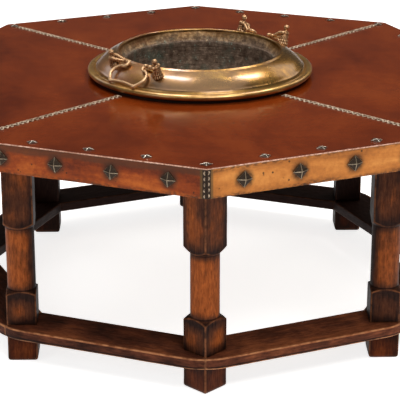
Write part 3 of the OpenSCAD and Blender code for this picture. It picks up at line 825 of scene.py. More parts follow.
side_middle = (TOP_Z + SIDE_LOW) / 2
top_nails = [place_at(TOP_FLAT - TOP_INSET, j * TOP_PITCH, TOP_Z, side_angle(k))
             for k in range(1, 9) for j in (-1, 0, 1)]
top_nails += [place_at(TOP_CORNER - TOP_INSET, 0, TOP_Z, corner_angle(i)) for i in range(8)]
side_nails = [place_at(TOP_FLAT, (j - 1.5) * SIDE_PITCH, side_middle, side_angle(k))
              for k in range(1, 9) for j in range(4)]
print("nails:", len(top_nails), "on the top,", len(side_nails), "on the sides")

# %% Top leather
QUARTERS = ["front", "right", "back", "left"]
# Each quarter was cut from another hide, and one of them took the dye darker.
HIDES = [0.0, 0.01, 0.02, -0.065]
SEAM_GAP = 0.0003
HOLE_ROUND, RIM_ROUND = 0.0012, 0.0016


def top_panel(q):
    """A quarter of the top: a grid from the hole out to two edges of the octagon, its raw edges rounded."""
    thick = TOP_Z - BOARD_TOP - 0.0001
    inner = [(0.0, -thick), (0.0, -0.0012), (0.0004, -0.0003), (HOLE_ROUND, 0.0)]
    rim = [(-RIM_ROUND, 0.0), (-0.0007, -0.0002), (-0.0002, -0.0008), (0.0, -0.0014), (0.0, -thick)]
    rows, lines = 60, []
    for u in np.linspace(-1, 1, 129):
        angle = u * math.pi / 4
        edge = TOP_FLAT / math.cos(abs(angle) - HALF_STEP)
        wide = edge - RIM_ROUND - HOLE_R - HOLE_ROUND
        line = [(HOLE_R + out, z) for out, z in inner]
        line += [(HOLE_R + HOLE_ROUND + wide * (n / (rows + 1)), 0.0) for n in range(1, rows + 1)]
        line += [(edge + out, z) for out, z in rim]
        turns = [angle - math.asin(SEAM_GAP / reach) * u for reach, z in line]
        lines.append([(r * math.cos(a), r * math.sin(a), TOP_Z + z) for (r, z), a in zip(line, turns)])
    total, columns = len(lines[0]), len(lines)
    faces = grid_faces(total, columns)
    # The underside joins the last ring to the first, and two strips close the seams.
    last = (total - 1) * columns
    faces += [(c, c + 1, last + c + 1, last + c) for c in range(columns - 1)]
    faces += [tuple(r * columns for r in range(total)),
              tuple(r * columns + columns - 1 for r in range(total - 1, -1, -1))]
    local = turned(np.swapaxes(lines, 0, 1).reshape(-1, 3), -math.pi / 2 + q * math.pi / 2)
    flat = np.abs(local[:, 2] - TOP_Z) < 1e-6
    from_middle = np.abs(np.arctan2(local[:, 1], local[:, 0]) % (math.pi / 2))
    from_seam = np.abs(from_middle - math.pi / 4) * np.hypot(local[:, 0], local[:, 1])
    pucker = 0.0005 * np.exp(-(from_seam / 0.012) ** 2)
    swell = 0.00035 * rumple(local, 28, 5) - 0.0003
    dent = 0.0007 * near_nails(local, top_nails, 0.019) ** 2
    local[:, 2] += np.where(flat, np.minimum(swell, 0) - pucker - dent, 0)
    mesh = new_mesh(f"top_leather_{QUARTERS[q]}_hide", local, faces)
    set_attribute(mesh, "halo", near_nails(points_of(mesh), top_nails, 0.024))
    set_attribute(mesh, "hide", np.full(len(mesh.vertices), HIDES[q]))
    upright = np.abs(array_of(mesh.polygons, "normal", 3)[:, 2]) < 0.75
    mesh.polygons.foreach_set("material_index", upright.astype("i"))
    return new_piece(mesh, "table", [f"top_leather_{QUARTERS[q]}"], [top_hide, raw_edge])


top_panels = [top_panel(q) for q in range(4)]
print("top leather:", face_count(top_panels), "faces")


# %% Side leather
def side_band(k):
    """One band of hide along a side: a loop round a thin board's section, carried from end to end."""
    thick, rise_steps = 0.0025, 22
    low, high = SIDE_LOW, BOARD_TOP
    section = [(-thick, low), (-0.0011, low), (-0.0003, low + 0.0004), (0.0, low + 0.0012)]
    section += [(0.0, low + 0.0012 + (high - low - 0.0020) * n / rise_steps) for n in range(1, rise_steps)]
    section += [(0.0, high - 0.0008), (-0.0003, high - 0.0002), (-0.0010, high - 0.0001),
                (-thick, high - 0.0001)]
    stations = np.linspace(-1, 1, 170)
    local = np.array([(TOP_FLAT + out, t * ((TOP_FLAT + out) * math.tan(HALF_STEP) - MITRE_GAP), z)
                      for t in stations for out, z in section])
    nail_dent = 0.0008 * near_nails(turned(local, side_angle(k)), side_nails, 0.021) ** 2
    end = np.clip(1 - (HALF_EDGE - np.abs(local[:, 1])) / 0.02, 0, 1)
    slack = 0.0006 * np.clip(rumple(local, 45, 30 + k) + 0.4, 0, 1.4) * (1 - end)
    local[:, 0] -= np.where(local[:, 0] > TOP_FLAT - 0.0002, slack + nail_dent, 0)
    faces = loft_faces(len(stations), len(section))
    mesh = new_mesh(f"side_leather_{k}_hide", turned(local, side_angle(k)), faces)
    world_points = points_of(mesh)
    back = turned(world_points, -side_angle(k))
    to_front = np.hypot(*(world_points[:, :2] - np.array([0, -TOP_CORNER])).T)
    set_attribute(mesh, "halo", near_nails(world_points, side_nails, 0.031))
    set_attribute(mesh, "rise", (back[:, 2] - low) / (high - low))
    set_attribute(mesh, "handled", np.clip(1 - to_front / 0.38, 0, 1))
    set_attribute(mesh, "corner", np.clip(1 - (HALF_EDGE - np.abs(back[:, 1])) / 0.017, 0, 1))
    set_attribute(mesh, "grain", np.column_stack([back[:, 1] + 0.8 * k, back[:, 0], back[:, 2]]))
    hide = {1: tan_hide, 3: tan_hide, 5: tan_hide,
            2: orange_hide, 6: orange_hide, 8: orange_hide}.get(k, russet_hide)
    return new_piece(mesh, "table", [f"side_leather_{k}"], [hide])


side_bands = [side_band(k) for k in range(1, 9)]
print("side leather:", face_count(side_bands), "faces")


# %% [markdown]
# ## Nails
#
# Forged nails with square heads, set as diamonds. Four hollowed facets meet in four ridges, which
# are rubbed bright while the facets stay dark. 64 copies could be placed by a loop, but a node tree
# also gives each a slight turn and size of its own, and serves both kinds of nail. It builds one
# from a cone with four sides, and sets it on a point for every nail.

# %% Nail finishes
def forged_metal(name, dark, bright, rub_low, rub_high, rough):
    f = Finish(name, Specular_IOR_Level=0.12)
    pits = f.noise(f.place(), 420, 4, 0.6)
    blot = f.noise(f.place(), 90, 3, 0.6)
    rub = f.span(f.attribute("ridge") + (blot - 0.5) * 0.7, rub_low, rub_high, smooth=True)
    f.bump((pits, 0.35, 0.0006), (blot, 0.2, 0.001))
    colour, shine, metal = f.mix(rub, dark, bright), (rough + 0.2, rough), (0.12, 1.0)
    return f.done(colour, f.span(rub, 0, 1, *shine), f.span(rub, 0, 1, *metal))


top_nail_metal = forged_metal("top_nail_metal", (0.040, 0.026, 0.018), (0.68, 0.60, 0.50), 0.40, 0.85, 0.32)
side_nail_metal = forged_metal("side_nail_metal", (0.030, 0.019, 0.012), (0.36, 0.29, 0.20), 0.50, 1.0, 0.40)
print("finishes:", top_nail_metal.name, side_nail_metal.name)


# %% Nails as a node tree
def nail_tree():
    t = Shaper("nails", Head_Width=0.031, Head_Height=0.008, Plate=0.0016, Hollow=0.30,
               Shank_Radius=0.0015, Shank_Length=0.0150, Seed=1, Finish=side_nail_metal)
    size = t.given
    half = size["Head Width"] * 0.5
    cone = t.add("GeometryNodeMeshCone", {"Vertices": 4, "Radius Top": 0.0, "Radius Bottom": half * 0.995,
                                          "Depth": size["Head Height"] - size["Plate"]},
                 out="Mesh", fill_type="NONE")
    fine = t.add("GeometryNodeSubdivideMesh", {"Mesh": cone, "Level": 3})
    # Each facet is hollowed between its two ridges.
    x, y, z = t.position()
    reach = abs(x) + abs(y) + 1e-6
    facet = t.math("MINIMUM", abs(x), abs(y)) * 2.0 / reach
    depth = facet ** 0.7 * size["Hollow"] * t.math("SINE", reach / half * 3.0)
    hollowed = t.join(x, y, (1.0 - depth) * z)
    raised = t.add("GeometryNodeSetPosition", {"Geometry": fine, "Position": hollowed})
    head = t.moved(raised, t.join(z=size["Plate"]))
    plate = t.add("GeometryNodeMeshCylinder", {"Vertices": 4, "Radius": half, "Depth": size["Plate"]},
                  out="Mesh")
    plate = t.moved(plate, t.join(z=size["Plate"] * 0.5))
    shank = t.add("GeometryNodeMeshCylinder", {"Vertices": 12, "Radius": size["Shank Radius"],
                                               "Depth": size["Shank Length"]}, out="Mesh")
    shank = t.moved(shank, t.join(z=size["Shank Length"] * -0.5))
    # The ridges run from the point of the head to its four corners.
    x, y, z = t.position()
    ridge = t.span(t.math("MINIMUM", abs(x), abs(y)), half * 0.12, 0.0)
    marked = t.store(t.together((head, plate, shank)), "ridge", ridge)
    inputs = {2: 0.95, 3: 1.05, "Seed": size["Seed"]}
    grow = t.add("FunctionNodeRandomValue", inputs, out=1, data_type="FLOAT")
    return t.finish(t.scatter(marked, (0.04, 0.04, 0.10), grow), smooth=False)


def loose_points(places, tilt=0.0):
    """A loose point for each (x, y, z, angle), with the turn of what will be set on it."""
    mesh = bpy.data.meshes.new("places")
    mesh.from_pydata([place[:3] for place in places], [], [])
    turns = [Matrix.Rotation(place[3], 3, "Z") @ Matrix.Rotation(tilt, 3, "Y") for place in places]
    set_attribute(mesh, "turn", np.array([tuple(turn.to_euler()) for turn in turns]))
    return mesh


nailing = nail_tree()
print("nail tree:", len(nailing.tree.nodes), "nodes")

# %% Drive the nails
mesh = nailing.run("side_nails_forged", loose_points(side_nails, math.pi / 2), Hollow=0.42, Seed=3,
                   Finish=side_nail_metal)
side_nail_piece = new_piece(mesh, "table", ["side_nails"])
mesh = nailing.run("top_nails_forged", loose_points(top_nails), Head_Width=0.024, Head_Height=0.004,
                   Plate=0.0009, Hollow=0.55, Seed=8, Finish=top_nail_metal)
top_nail_piece = new_piece(mesh, "table", ["top_nails"])
print("nails:", face_count([side_nail_piece, top_nail_piece]), "faces")


# %% [markdown]
# ## Lacing
#
# Pale rawhide thongs hold the panels together. Each stitch is two short thongs that cross over
# the seam and dive into holes on either side. A bump map could draw them, but they stand proud and
# catch the light. So a tree bends a flat section along a low arch, for one stitch, and sets that
# stitch on points spaced along the seams.

# %% Thong finish
def rawhide(name, dark, light):
    f = Finish(name, Specular_IOR_Level=0.35)
    dirt = f.noise(f.place(), 160, 4, 0.6)
    blot = f.noise(f.place(), 34, 3, 0.6)
    f.bump((dirt, 0.3, 0.0005))
    colour = f.ramp(dirt, (0.36, dark), (0.64, light))
    return f.done(f.mix(f.span(blot, 0.48, 0.7, 0, 0.5), colour, (0.22, 0.13, 0.07)), 0.55)


thong = rawhide("thong", (0.15, 0.092, 0.050), (0.66, 0.52, 0.38))
worn_thong = rawhide("worn_thong", (0.070, 0.042, 0.024), (0.50, 0.37, 0.25))
print("finishes:", thong.name, worn_thong.name)


# %% Stitches as a node tree
def stitch_tree():
    t = Shaper("stitches", Width=0.0125, Length=0.0118, Thong_Width=0.0031, Thickness=0.0014, Arch=0.0016,
               Seed=1, Finish=thong)
    size = t.given
    strips = []
    for way, lift in ((1.0, 0.0), (-1.0, 0.35)):
        x, y, foot = size["Length"] * (0.5 * way), size["Width"] * 0.5, size["Thickness"] * -0.6
        start, end = [t.join(x * side, y * side, foot) for side in (-1.0, 1.0)]
        peak = t.join(z=size["Arch"] * (2.0 + 2.0 * lift))
        path = t.add("GeometryNodeCurveQuadraticBezier", {"Resolution": 7, "Start": start, "Middle": peak,
                                                          "End": end})
        section = t.add("GeometryNodeCurvePrimitiveQuadrilateral", {"Width": size["Thong Width"],
                                                                    "Height": size["Thickness"]})
        inputs = {"Curve": path, "Profile Curve": section, "Fill Caps": True}
        strips.append(t.add("GeometryNodeCurveToMesh", inputs))
    return t.finish(t.scatter(t.together(strips), (0.03, 0.03, 0.09)))


lacing = stitch_tree()
print("stitch tree:", len(lacing.tree.nodes), "nodes")

# %% Lace the seams
STITCHES, STITCH_PITCH, LACING_INSET = 29, 0.013, 0.039
lacing_end = TOP_CORNER - LACING_INSET
stitches = [place_at(lacing_end - (j + 0.5) * STITCH_PITCH, 0, TOP_Z + 0.0001, math.radians(angle))
            for angle in (45, 135, 225, 315) for j in range(STITCHES)]
mesh = lacing.run("seam_lacing_thongs", loose_points(stitches), Seed=4, Finish=thong)
new_piece(mesh, "table", ["seam_lacing"])
print("seam lacing:", len(stitches), "stitches,", len(mesh.polygons), "faces")


# %% [markdown]
# ## Corner lacing
#
# At each corner of the side a thong is laced through both bands, and every turn of it shows as a
# small loop bent round the edge, with the dark slot of the joint in its middle. One loop set on
# points would stand off the corner, so each is drawn with its own bend: rings of points that
# follow an ellipse folded over the edge.

# %% Corner loops
LOOP_LEVELS = np.linspace(BOARD_TOP - 0.0062, SIDE_LOW + 0.0058, 5)
THONG_R, BEND_R = 0.0013, 0.0008


def half_loop(i, j, side):
    """Rings of points along one half of a loop: corner i, level j, side 0 or a half turn."""
    wide, tall = 0.0048 - 0.0003 * ((i + j) % 3), 0.0042 + 0.0003 * ((i * 3 + j) % 3)
    reach = 1.35 if j == 0 else 0.95 + 0.1 * ((i + j) % 2)
    points = []
    for n in range(13):
        a = side + reach * (n / 6 - 1)
        along, up = wide * math.cos(a), tall * math.sin(a) + 0.0009 * math.cos(a)
        bend = (math.sqrt(along ** 2 + BEND_R ** 2) - BEND_R) * math.tan(HALF_STEP)
        thick = THONG_R * (1.25 - (abs(n - 6) / 6) ** 2)
        sink = THONG_R * (abs(n - 6) / 6) ** 3
        for m in range(8):
            t = 2 * math.pi * m / 8
            points.append((TOP_CORNER - 0.0005 - bend - sink + thick * 0.9 * math.sin(t),
                           along + thick * math.cos(t) * math.cos(a),
                           LOOP_LEVELS[j] + up + thick * math.cos(t) * math.sin(a)))
    return turned(np.array(points), corner_angle(i))


points, faces = [], []
for i in range(8):
    for j in range(len(LOOP_LEVELS)):
        for side in (0, math.pi):
            faces += [tuple(len(points) + v for v in face) for face in loft_faces(13, 8)]
            points += list(half_loop(i, j, side))
mesh = new_mesh("corner_lacing_loops", points, faces)
new_piece(mesh, "table", ["corner_lacing"], [worn_thong])
print("corner loops:", len(mesh.polygons), "faces")


# %% [markdown]
# ## The brazier
#
# One sheet of brass, spun and hammered: a rolled edge, a flange that rises to the mouth, a rolled
# lip, a ledge and the bowl. A Screw modifier could spin its section, but rings of points written
# out let each point keep its place in the section, and let the hammer's dents be pressed in.
# Outside it is waxed and rubbed bright; inside, heat and ash have left it bare and nearly black,
# with green and chalky patches. So it has two finishes, chosen for each face, and "inside" tells
# them where one gives way to the other. "roll" marks the rolled edge, rubbed bright and painted a
# paler gold still as a painted highlight.

# %% Brass finishes
def brazier_finish(name, coat, gloss):
    f = Finish(name, Specular_IOR_Level=gloss, Specular_Tint=(1.0, 0.72, 0.36, 1), Coat_Weight=coat,
               Coat_Roughness=0.18)
    where = f.place()
    tarnish = f.noise(where, 13, 6, 0.62, 0.5)
    fine = f.noise(where, 110, 5, 0.6)
    value = tarnish * 0.6 + fine * 0.4
    brass = f.ramp(value, (0.34, (0.15, 0.063, 0.015)), (0.64, (0.50, 0.275, 0.055)),
                   (0.50, (0.30, 0.146, 0.029)))
    # The left is duller, and the lower front of the flange, before the mouth, is painted dark as a
    # painted reflection.
    away, front = f.split(f.place(turn=(0, 0, -0.3)))[0], f.split(where)[1]
    dull = f.span(away + (tarnish - 0.5) * 0.5, -0.04, -0.22, 0, 0.8, True)
    brass = f.mix(dull, brass, (0.35, 0.165, 0.092))
    dark = f.span(front + (tarnish - 0.5) * 0.1, -0.172, -0.200, 0, 0.85, True)
    brass = f.mix(dark, brass, (0.125, 0.062, 0.018))
    brass = f.mix(f.span(f.attribute("edge"), 0.47, 0.30, 0, 0.7), brass, (0.10, 0.045, 0.018))
    # The rolled edge is rubbed bright, and painted a paler gold still as a painted highlight.
    roll = f.span(f.attribute("roll") + (fine - 0.5) * 0.8, 0.3, 0.9, smooth=True)
    rubbed = f.ramp(tarnish, (0.36, (0.29, 0.136, 0.03)), (0.62, (0.7, 0.42, 0.13)))
    brass = f.mix(roll * 0.85, brass, rubbed)
    crust, green = f.noise(where, 75, 7, 0.7), f.noise(where, 24, 5, 0.65)
    rings, spots = f.noise(f.place((1, 1, 14)), 22, 4, 0.6), f.noise(where, 130, 3, 0.6)
    soot = f.ramp(crust * 0.7 + rings * 0.3, (0.4, (0.058, 0.037, 0.027)), (0.66, (0.34, 0.25, 0.18)),
                  (0.54, (0.15, 0.103, 0.076)))
    soot = f.mix(f.span(green, 0.52, 0.66, 0, 0.45), soot, (0.070, 0.115, 0.092))
    chalk = f.ramp(green, (0.42, (0.34, 0.22, 0.13)), (0.56, (0.22, 0.32, 0.27)))
    soot = f.mix(f.span(spots, 0.62, 0.70, 0, 0.8), soot, chalk)
    deep = f.attribute("inside")
    lighter = f.span(deep + (tarnish - 0.5) * 0.5, 0.2, 0.42, 0.85, 0.0, True)
    scorched = f.ramp(spots, (0.4, (0.17, 0.085, 0.04)), (0.6, (0.5, 0.32, 0.17)))
    soot = f.mix(lighter * f.span(crust, 0.42, 0.6, 0.25, 1.0), soot, scorched)
    within = f.span(deep + (tarnish - 0.5) * 0.3, 0.1, 0.28, 0, 1, True)
    polish = f.span(value, 0.35, 0.65, 0.36, 0.22) + f.math("MAXIMUM", roll * 0.1, dull * 0.18)
    rough = f.mix(within, polish, f.span(crust, 0.4, 0.7, 0.55, 0.85))
    f.bump((fine, 0.12, 0.0008), (crust * within, 0.9, 0.003), (tarnish, 0.3, 0.003))
    return f.done(f.mix(within, brass, soot), rough, f.span(within, 0, 1, 1.0, 0.25))


brazier_brass = brazier_finish("brazier_brass", 1.0, 0.5)
brazier_soot = brazier_finish("brazier_soot", 0.0, 0.2)
print("finishes:", brazier_brass.name, brazier_soot.name)

# %% The brazier's sizes, in millimetres
RIM_R, BEAD_R, MOUTH_R, LIP_R, WALL = 241.0, 7.0, 180.0, 3.0, 2.6
BEAD_Z, LIP_Z, LEDGE_Z, FLOOR_Z = 520.0, 561.0, 538.0, 414.0
LEDGE_R, BOWL_R, CURVE_R = 168.0, 165.0, 100.0
FLANGE_BULGE = 6.2
# The flange is an arc that bulges above the line from the rolled edge to the lip.
flange_low = np.array([RIM_R - 0.7 * BEAD_R, BEAD_Z - 0.1 * BEAD_R])
flange_high = np.array([MOUTH_R, LIP_Z + LIP_R / 2])
span = np.linalg.norm(flange_high - flange_low)
way = (flange_high - flange_low) / span
FLANGE_R = ((span / 2) ** 2 + FLANGE_BULGE ** 2) / (2 * FLANGE_BULGE)
FLANGE_C = (flange_low + flange_high) / 2 + np.array([way[1], -way[0]]) * (FLANGE_BULGE - FLANGE_R)


def flange_height(r, below=0.0):
    return FLANGE_C[1] + math.sqrt((FLANGE_R - below) ** 2 - (r - FLANGE_C[0]) ** 2)


def arc_points(centre, radius, start, stop, count):
    turns = [math.radians(start + (stop - start) * n / count) for n in range(count + 1)]
    return [(centre[0] + radius * math.cos(a), centre[1] + radius * math.sin(a)) for a in turns]


print(f"flange: an arc of radius {FLANGE_R:.0f} mm, {flange_height(MOUTH_R + LIP_R):.1f} high at the lip")


# %% Section of the brazier
def basin_section():
    """From the middle of the floor underneath, over the rim and back inside, and where the mouth starts."""
    under = [(r, FLOOR_Z - WALL) for r in (0.0, 20, 40, 55)]
    under += arc_points((BOWL_R - CURVE_R, FLOOR_Z + CURVE_R), CURVE_R + WALL, -90, 0, 20)
    under += [(BOWL_R + WALL, z) for z in (520, 528, LEDGE_Z - WALL)] + [(LEDGE_R + WALL, LEDGE_Z - WALL)]
    under += [(LEDGE_R + WALL + 3.5, 545), (LEDGE_R + WALL + 6, 552)]
    under += [(r, flange_height(r, WALL)) for r in np.linspace(184, 231.5, 14)]
    bead = arc_points((RIM_R, BEAD_Z), BEAD_R, -158, 152, 38)
    bead = [(min(RIM_R - 1.2 + (r - RIM_R) * 1.16, RIM_R + BEAD_R), z) for r, z in bead]
    # A low ridge stands inside the groove of the rolled edge.
    ridge = ((231.6, -0.8), (230.6, -0.3), (229.8, 0.5), (228.8, 0.9), (227.4, 0.5), (226.2, 0.0))
    over = [(r, flange_height(r) + rise) for r, rise in ridge]
    over += [(r, flange_height(r)) for r in np.linspace(224, 184.5, 24)]
    lip = arc_points((MOUTH_R, LIP_Z), LIP_R, 62, 215, 14)
    inside = [(175.4, 555.5), (173.2, 549), (171.0, 543.6), (169.2, 539.6), (LEDGE_R, LEDGE_Z + 0.5)]
    inside += [(LEDGE_R - 0.6, LEDGE_Z), (BOWL_R + 0.9, LEDGE_Z - 0.1), (BOWL_R, LEDGE_Z - 1.2)]
    inside += [(BOWL_R, z) for z in (532, 526, 520)]
    inside += arc_points((BOWL_R - CURVE_R, FLOOR_Z + CURVE_R), CURVE_R, 0, -90, 26)
    inside += [(r, FLOOR_Z) for r in (50, 35, 20, 8, 0.0)]
    return under + bead + over + lip + inside, len(under) + len(bead) + len(over) + 4


def depth_inside(z):
    drop = (LIP_Z + 1.5 - z) / (LIP_Z - FLOOR_Z)
    return min(1.0, 0.12 + 1.1 * drop + (0.14 if z < LEDGE_Z + 0.6 else 0))


section, mouth_at = basin_section()
print("section:", len(section), "points,", mouth_at, "of them outside")

# %% Spin the brazier
around, rings = 224, len(section) - 2
points = spin([(r * MM, z * MM) for r, z in section[1:-1]], around)
points = [(0.0, 0.0, section[0][1] * MM), *points, (0.0, 0.0, section[-1][1] * MM)]
last = 1 + rings * around
faces = [(0, 1 + (c + 1) % around, 1 + c) for c in range(around)]
faces += [tuple(1 + v for v in face) for face in grid_faces(rings, around, wrap=True)]
faces += [(last, last - around + c, last - around + (c + 1) % around) for c in range(around)]
local = np.array(points)
outer = np.hypot(local[:, 0], local[:, 1])
dents = rumple(local, 24, 77) * 0.00045 + rumple(local, 80, 78) * 0.00015
local[:, 2] += dents * np.clip((outer - 0.15) / 0.03, 0, 1) * np.clip((0.234 - outer) / 0.01, 0, 1)
mesh = new_mesh("brazier_spun", local, faces)
print("spun:", rings, "rings of", around, "points")

# %% Mark its inside and its rolled edge
ROLL_FROM, SOOT_TO = 0.2285, 0.1765
depth = [0.0 if n < mouth_at else depth_inside(z) for n, (r, z) in enumerate(section)]
set_attribute(mesh, "inside", np.repeat(depth, [1] + [around] * rings + [1]))
outer = np.hypot(*points_of(mesh)[:, :2].T)
set_attribute(mesh, "roll", np.clip((outer - ROLL_FROM) / 0.002, 0, 1))
mark_edges(mesh, 0.010)
centre, normal = array_of(mesh.polygons, "center", 3), array_of(mesh.polygons, "normal", 3)
radial = np.hypot(centre[:, 0], centre[:, 1])
faces_in = ((centre[:, :2] * normal[:, :2]).sum(1) / radial < -0.2) | (normal[:, 2] > 0.5)
mesh.polygons.foreach_set("material_index", ((radial < SOOT_TO) & faces_in).astype("i"))
new_piece(mesh, "brazier", ["brazier_basin"], [brazier_brass, brazier_soot])
print("brazier:", len(mesh.polygons), "faces")

# %% [markdown]
# ## Handles and figures
#
# Both are castings of redder metal. A handle is a rod swept along its path, a little uneven as
# castings are, with knops at its outer corners and a thin pivot at each end. A figure is a small
# kneeling person in a gown and a cap. It could be sculpted, but a sculpted mesh can't be read in a
# script. So it is built up from lumps as a modeller would in wax, the lumps are fused by a voxel
# remesh and smoothed, and the face is pressed in last.

# %% Cast metal finish
f = Finish("cast_metal", Specular_IOR_Level=0.5, Specular_Tint=(1.0, 0.76, 0.52, 1))
skin = f.noise(f.place(), 190, 5, 0.6)
value = skin * 0.4 + f.noise(f.place(), 45, 4, 0.6) * 0.6
colour = f.ramp(value, (0.36, (0.12, 0.045, 0.018)), (0.66, (0.58, 0.32, 0.155)),
                (0.5, (0.32, 0.145, 0.060)))
# Hollows are darkened, partly as patina and partly as painted shade.
colour = f.mix(f.span(f.attribute("edge"), 0.48, 0.30, 0, 0.85), colour, (0.035, 0.016, 0.009))
colour = f.mix(f.span(f.attribute("edge"), 0.57, 0.80, 0, 0.8), colour, (0.80, 0.54, 0.31))
f.bump((skin, 0.3, 0.0006))
cast_metal = f.done(colour, f.span(value, 0.35, 0.65, 0.52, 0.36), 0.85)
print("finish:", cast_metal.name)

# %% The handles' own frame, in millimetres
HINGE_R, HINGE_Z = 192.0, 565.5
HANDLES = {"left": math.radians(225), "right": math.radians(43)}
# At rest the knops lie just over the rolled edge, a little in from its middle.
KNOP_R, REST_GAP, REST_INSET = 4.6, 0.3, 1.7
REST_DROP = HINGE_Z - BEAD_Z - BEAD_R - KNOP_R - REST_GAP
BAIL_REACH = math.hypot(RIM_R - REST_INSET - HINGE_R, REST_DROP)
REST_ANGLE = math.asin(REST_DROP / BAIL_REACH)


def handle_to_world(points, angle):
    """From a handle's frame: x outwards, y along the hinge line, z up."""
    local = np.asarray(points, float) + np.array([HINGE_R, 0, HINGE_Z])
    return turned(local * MM, angle)


def bail_to_handle(points):
    """From the flat loop: x along the hinge line, y its reach, z its thickness, laid down to rest."""
    x, y, z = np.asarray(points, float).T
    c, s = math.cos(REST_ANGLE), math.sin(REST_ANGLE)
    return np.column_stack([y * c + z * s, -x, -y * s + z * c])


print(f"a handle reaches {BAIL_REACH:.1f} mm and rests {math.degrees(REST_ANGLE):.1f} degrees down")

# %% Path of a handle
HALF_GAP, TIGHT_R, LOBE_R, LOBE_TURN, BAR_SAG = 24.0, 7.0, 19.0, math.radians(38), 4.0


def loop_path():
    """Half of the loop, from its pivot to the middle of its bar, as (x, y, radius)."""
    pivot = ((13.34, 0, 2.0), (12.9, 0, 2.0), (4.4, 0, 2.0), (3.9, 0, 2.0), (3.4, 0, 3.4), (1.6, 0, 4.0),
             (0.3, 0.6, 3.9), (0, 2.6, 3.5), (0, 5.0, 3.2))
    half = [(HALF_GAP + x, y, r) for x, y, r in pivot]
    bend_x, lobe_y = HALF_GAP + TIGHT_R, 2 * TIGHT_R + LOBE_R
    half += [(x, y, 3.3) for x, y in arc_points((bend_x, TIGHT_R), TIGHT_R, 172, 98, 6)]
    half += [(x, y, 3.5) for x, y in arc_points((bend_x, lobe_y), LOBE_R, -86, 34, 16)]
    end = (bend_x + LOBE_R * math.cos(LOBE_TURN), lobe_y + LOBE_R * math.sin(LOBE_TURN))
    side = (BAIL_REACH - end[1]) / math.cos(LOBE_TURN)
    knop = (end[0] - side * math.sin(LOBE_TURN), BAIL_REACH)
    half += [(end[0] + (knop[0] - end[0]) * s, end[1] + (knop[1] - end[1]) * s, r)
             for s, r in ((0.0, 3.5), (0.25, 3.2), (0.5, 3.2), (0.72, 3.5))]
    half += [(knop[0] + x, knop[1] + y, r)
             for x, y, r in ((0.6, -0.8, 4.3), (-0.6, -0.2, 4.5), (-2.2, -0.9, 4.1))]
    bar_r = (knop[0] ** 2 + BAR_SAG ** 2) / (2 * BAR_SAG)
    for n in range(1, 9):
        a = math.asin(knop[0] / bar_r) * (1 - n / 8) * 0.88
        half.append((bar_r * math.sin(a), BAIL_REACH - BAR_SAG + bar_r - bar_r * math.cos(a),
                     3.2 - 0.25 * math.sin(math.pi * n / 8)))
    return half


half = loop_path()
path = half + [(-x, y, r) for x, y, r in half[-2::-1]]
print("handle path:", len(path), "points")


# %% Sweep the handles
def sweep(path, angle, seed):
    """A rod along (x, y, radius) points that lie in the plane of the loop."""
    around, up = 18, np.array([0, 0, 1.0])
    centre = np.array([(x, y, 0.0) for x, y, r in path])
    radius = np.array([r for x, y, r in path])
    ahead = np.gradient(centre, axis=0)
    ahead /= np.linalg.norm(ahead, axis=1)[:, None]
    side = np.cross(ahead, up)
    turns = [2 * math.pi * n / around for n in range(around)]
    points = np.array([c + r * (math.cos(a) * s + math.sin(a) * up)
                       for c, s, r in zip(centre, side, radius) for a in turns])
    uneven = rumple(points, 0.22, seed)[:, None] * 0.22
    rod = np.repeat(radius, around)[:, None]
    middle = np.repeat(centre, around, axis=0)
    points = np.where(rod > 2.1, middle + (points - middle) * (1 + uneven / rod), points)
    return handle_to_world(bail_to_handle(points), angle), loft_faces(len(path), around)


handles = []
for n, (side, angle) in enumerate(HANDLES.items()):
    mesh = new_mesh(f"handle_{side}_cast", *sweep(path, angle, 11 + n))
    mark_edges(mesh, 0.004)
    handles.append(new_piece(mesh, f"{side}_handle", [f"handle_{side}"], [cast_metal]))
print("handles:", face_count(handles), "faces")

# %% The figures' own frame
FIGURE_R, OFFSET, LEAN = 206.0, 67.5, math.radians(18)
FOOT_X = math.sqrt(FIGURE_R ** 2 - OFFSET ** 2) - HINGE_R
FOOT_Z = flange_height(FIGURE_R) - HINGE_Z
ROD_W, EYE_GAP = 6.4, 0.5
EYE_IN = HALF_GAP + 0.6 * ROD_W + EYE_GAP
HEAD_UP = 37.6


def place(h, out, fwd):
    """h up the body, out from the brazier, fwd towards the middle of the handle."""
    return np.array([FOOT_X + h * math.sin(LEAN) + out * math.cos(LEAN), OFFSET - fwd,
                     FOOT_Z + h * math.cos(LEAN) - out * math.sin(LEAN)])


def beside(base, h, out, fwd):
    return base + place(h, out, fwd) - place(0, 0, 0)


def from_handle(p):
    """The (h, out, fwd) of a point in the handle's frame."""
    x, z = p[..., 0] - FOOT_X, p[..., 2] - FOOT_Z
    c, s = math.cos(LEAN), math.sin(LEAN)
    return x * s + z * c, x * c - z * s, OFFSET - p[..., 1]


BODY_AXES = np.array([place(*step) - place(0, 0, 0) for step in ((0, 1, 0), (0, 0, 1), (1, 0, 0))])
print(f"figures: {2 * OFFSET:.0f} mm apart, leaning out {math.degrees(LEAN):.0f} degrees")


# %% Lumps of wax
def lump(shape, centre, radii):
    """An ellipsoid with the given radii (out, fwd, h)."""
    for v in bmesh.ops.create_icosphere(shape, subdivisions=3, radius=1.0)["verts"]:
        v.co = Vector(centre + (np.array(v.co) * np.array(radii)) @ BODY_AXES)


def limb(shape, p, q, r1, r2, count):
    for n in range(count):
        s = n / (count - 1)
        lump(shape, p + (q - p) * s, [r1 + (r2 - r1) * s] * 3)


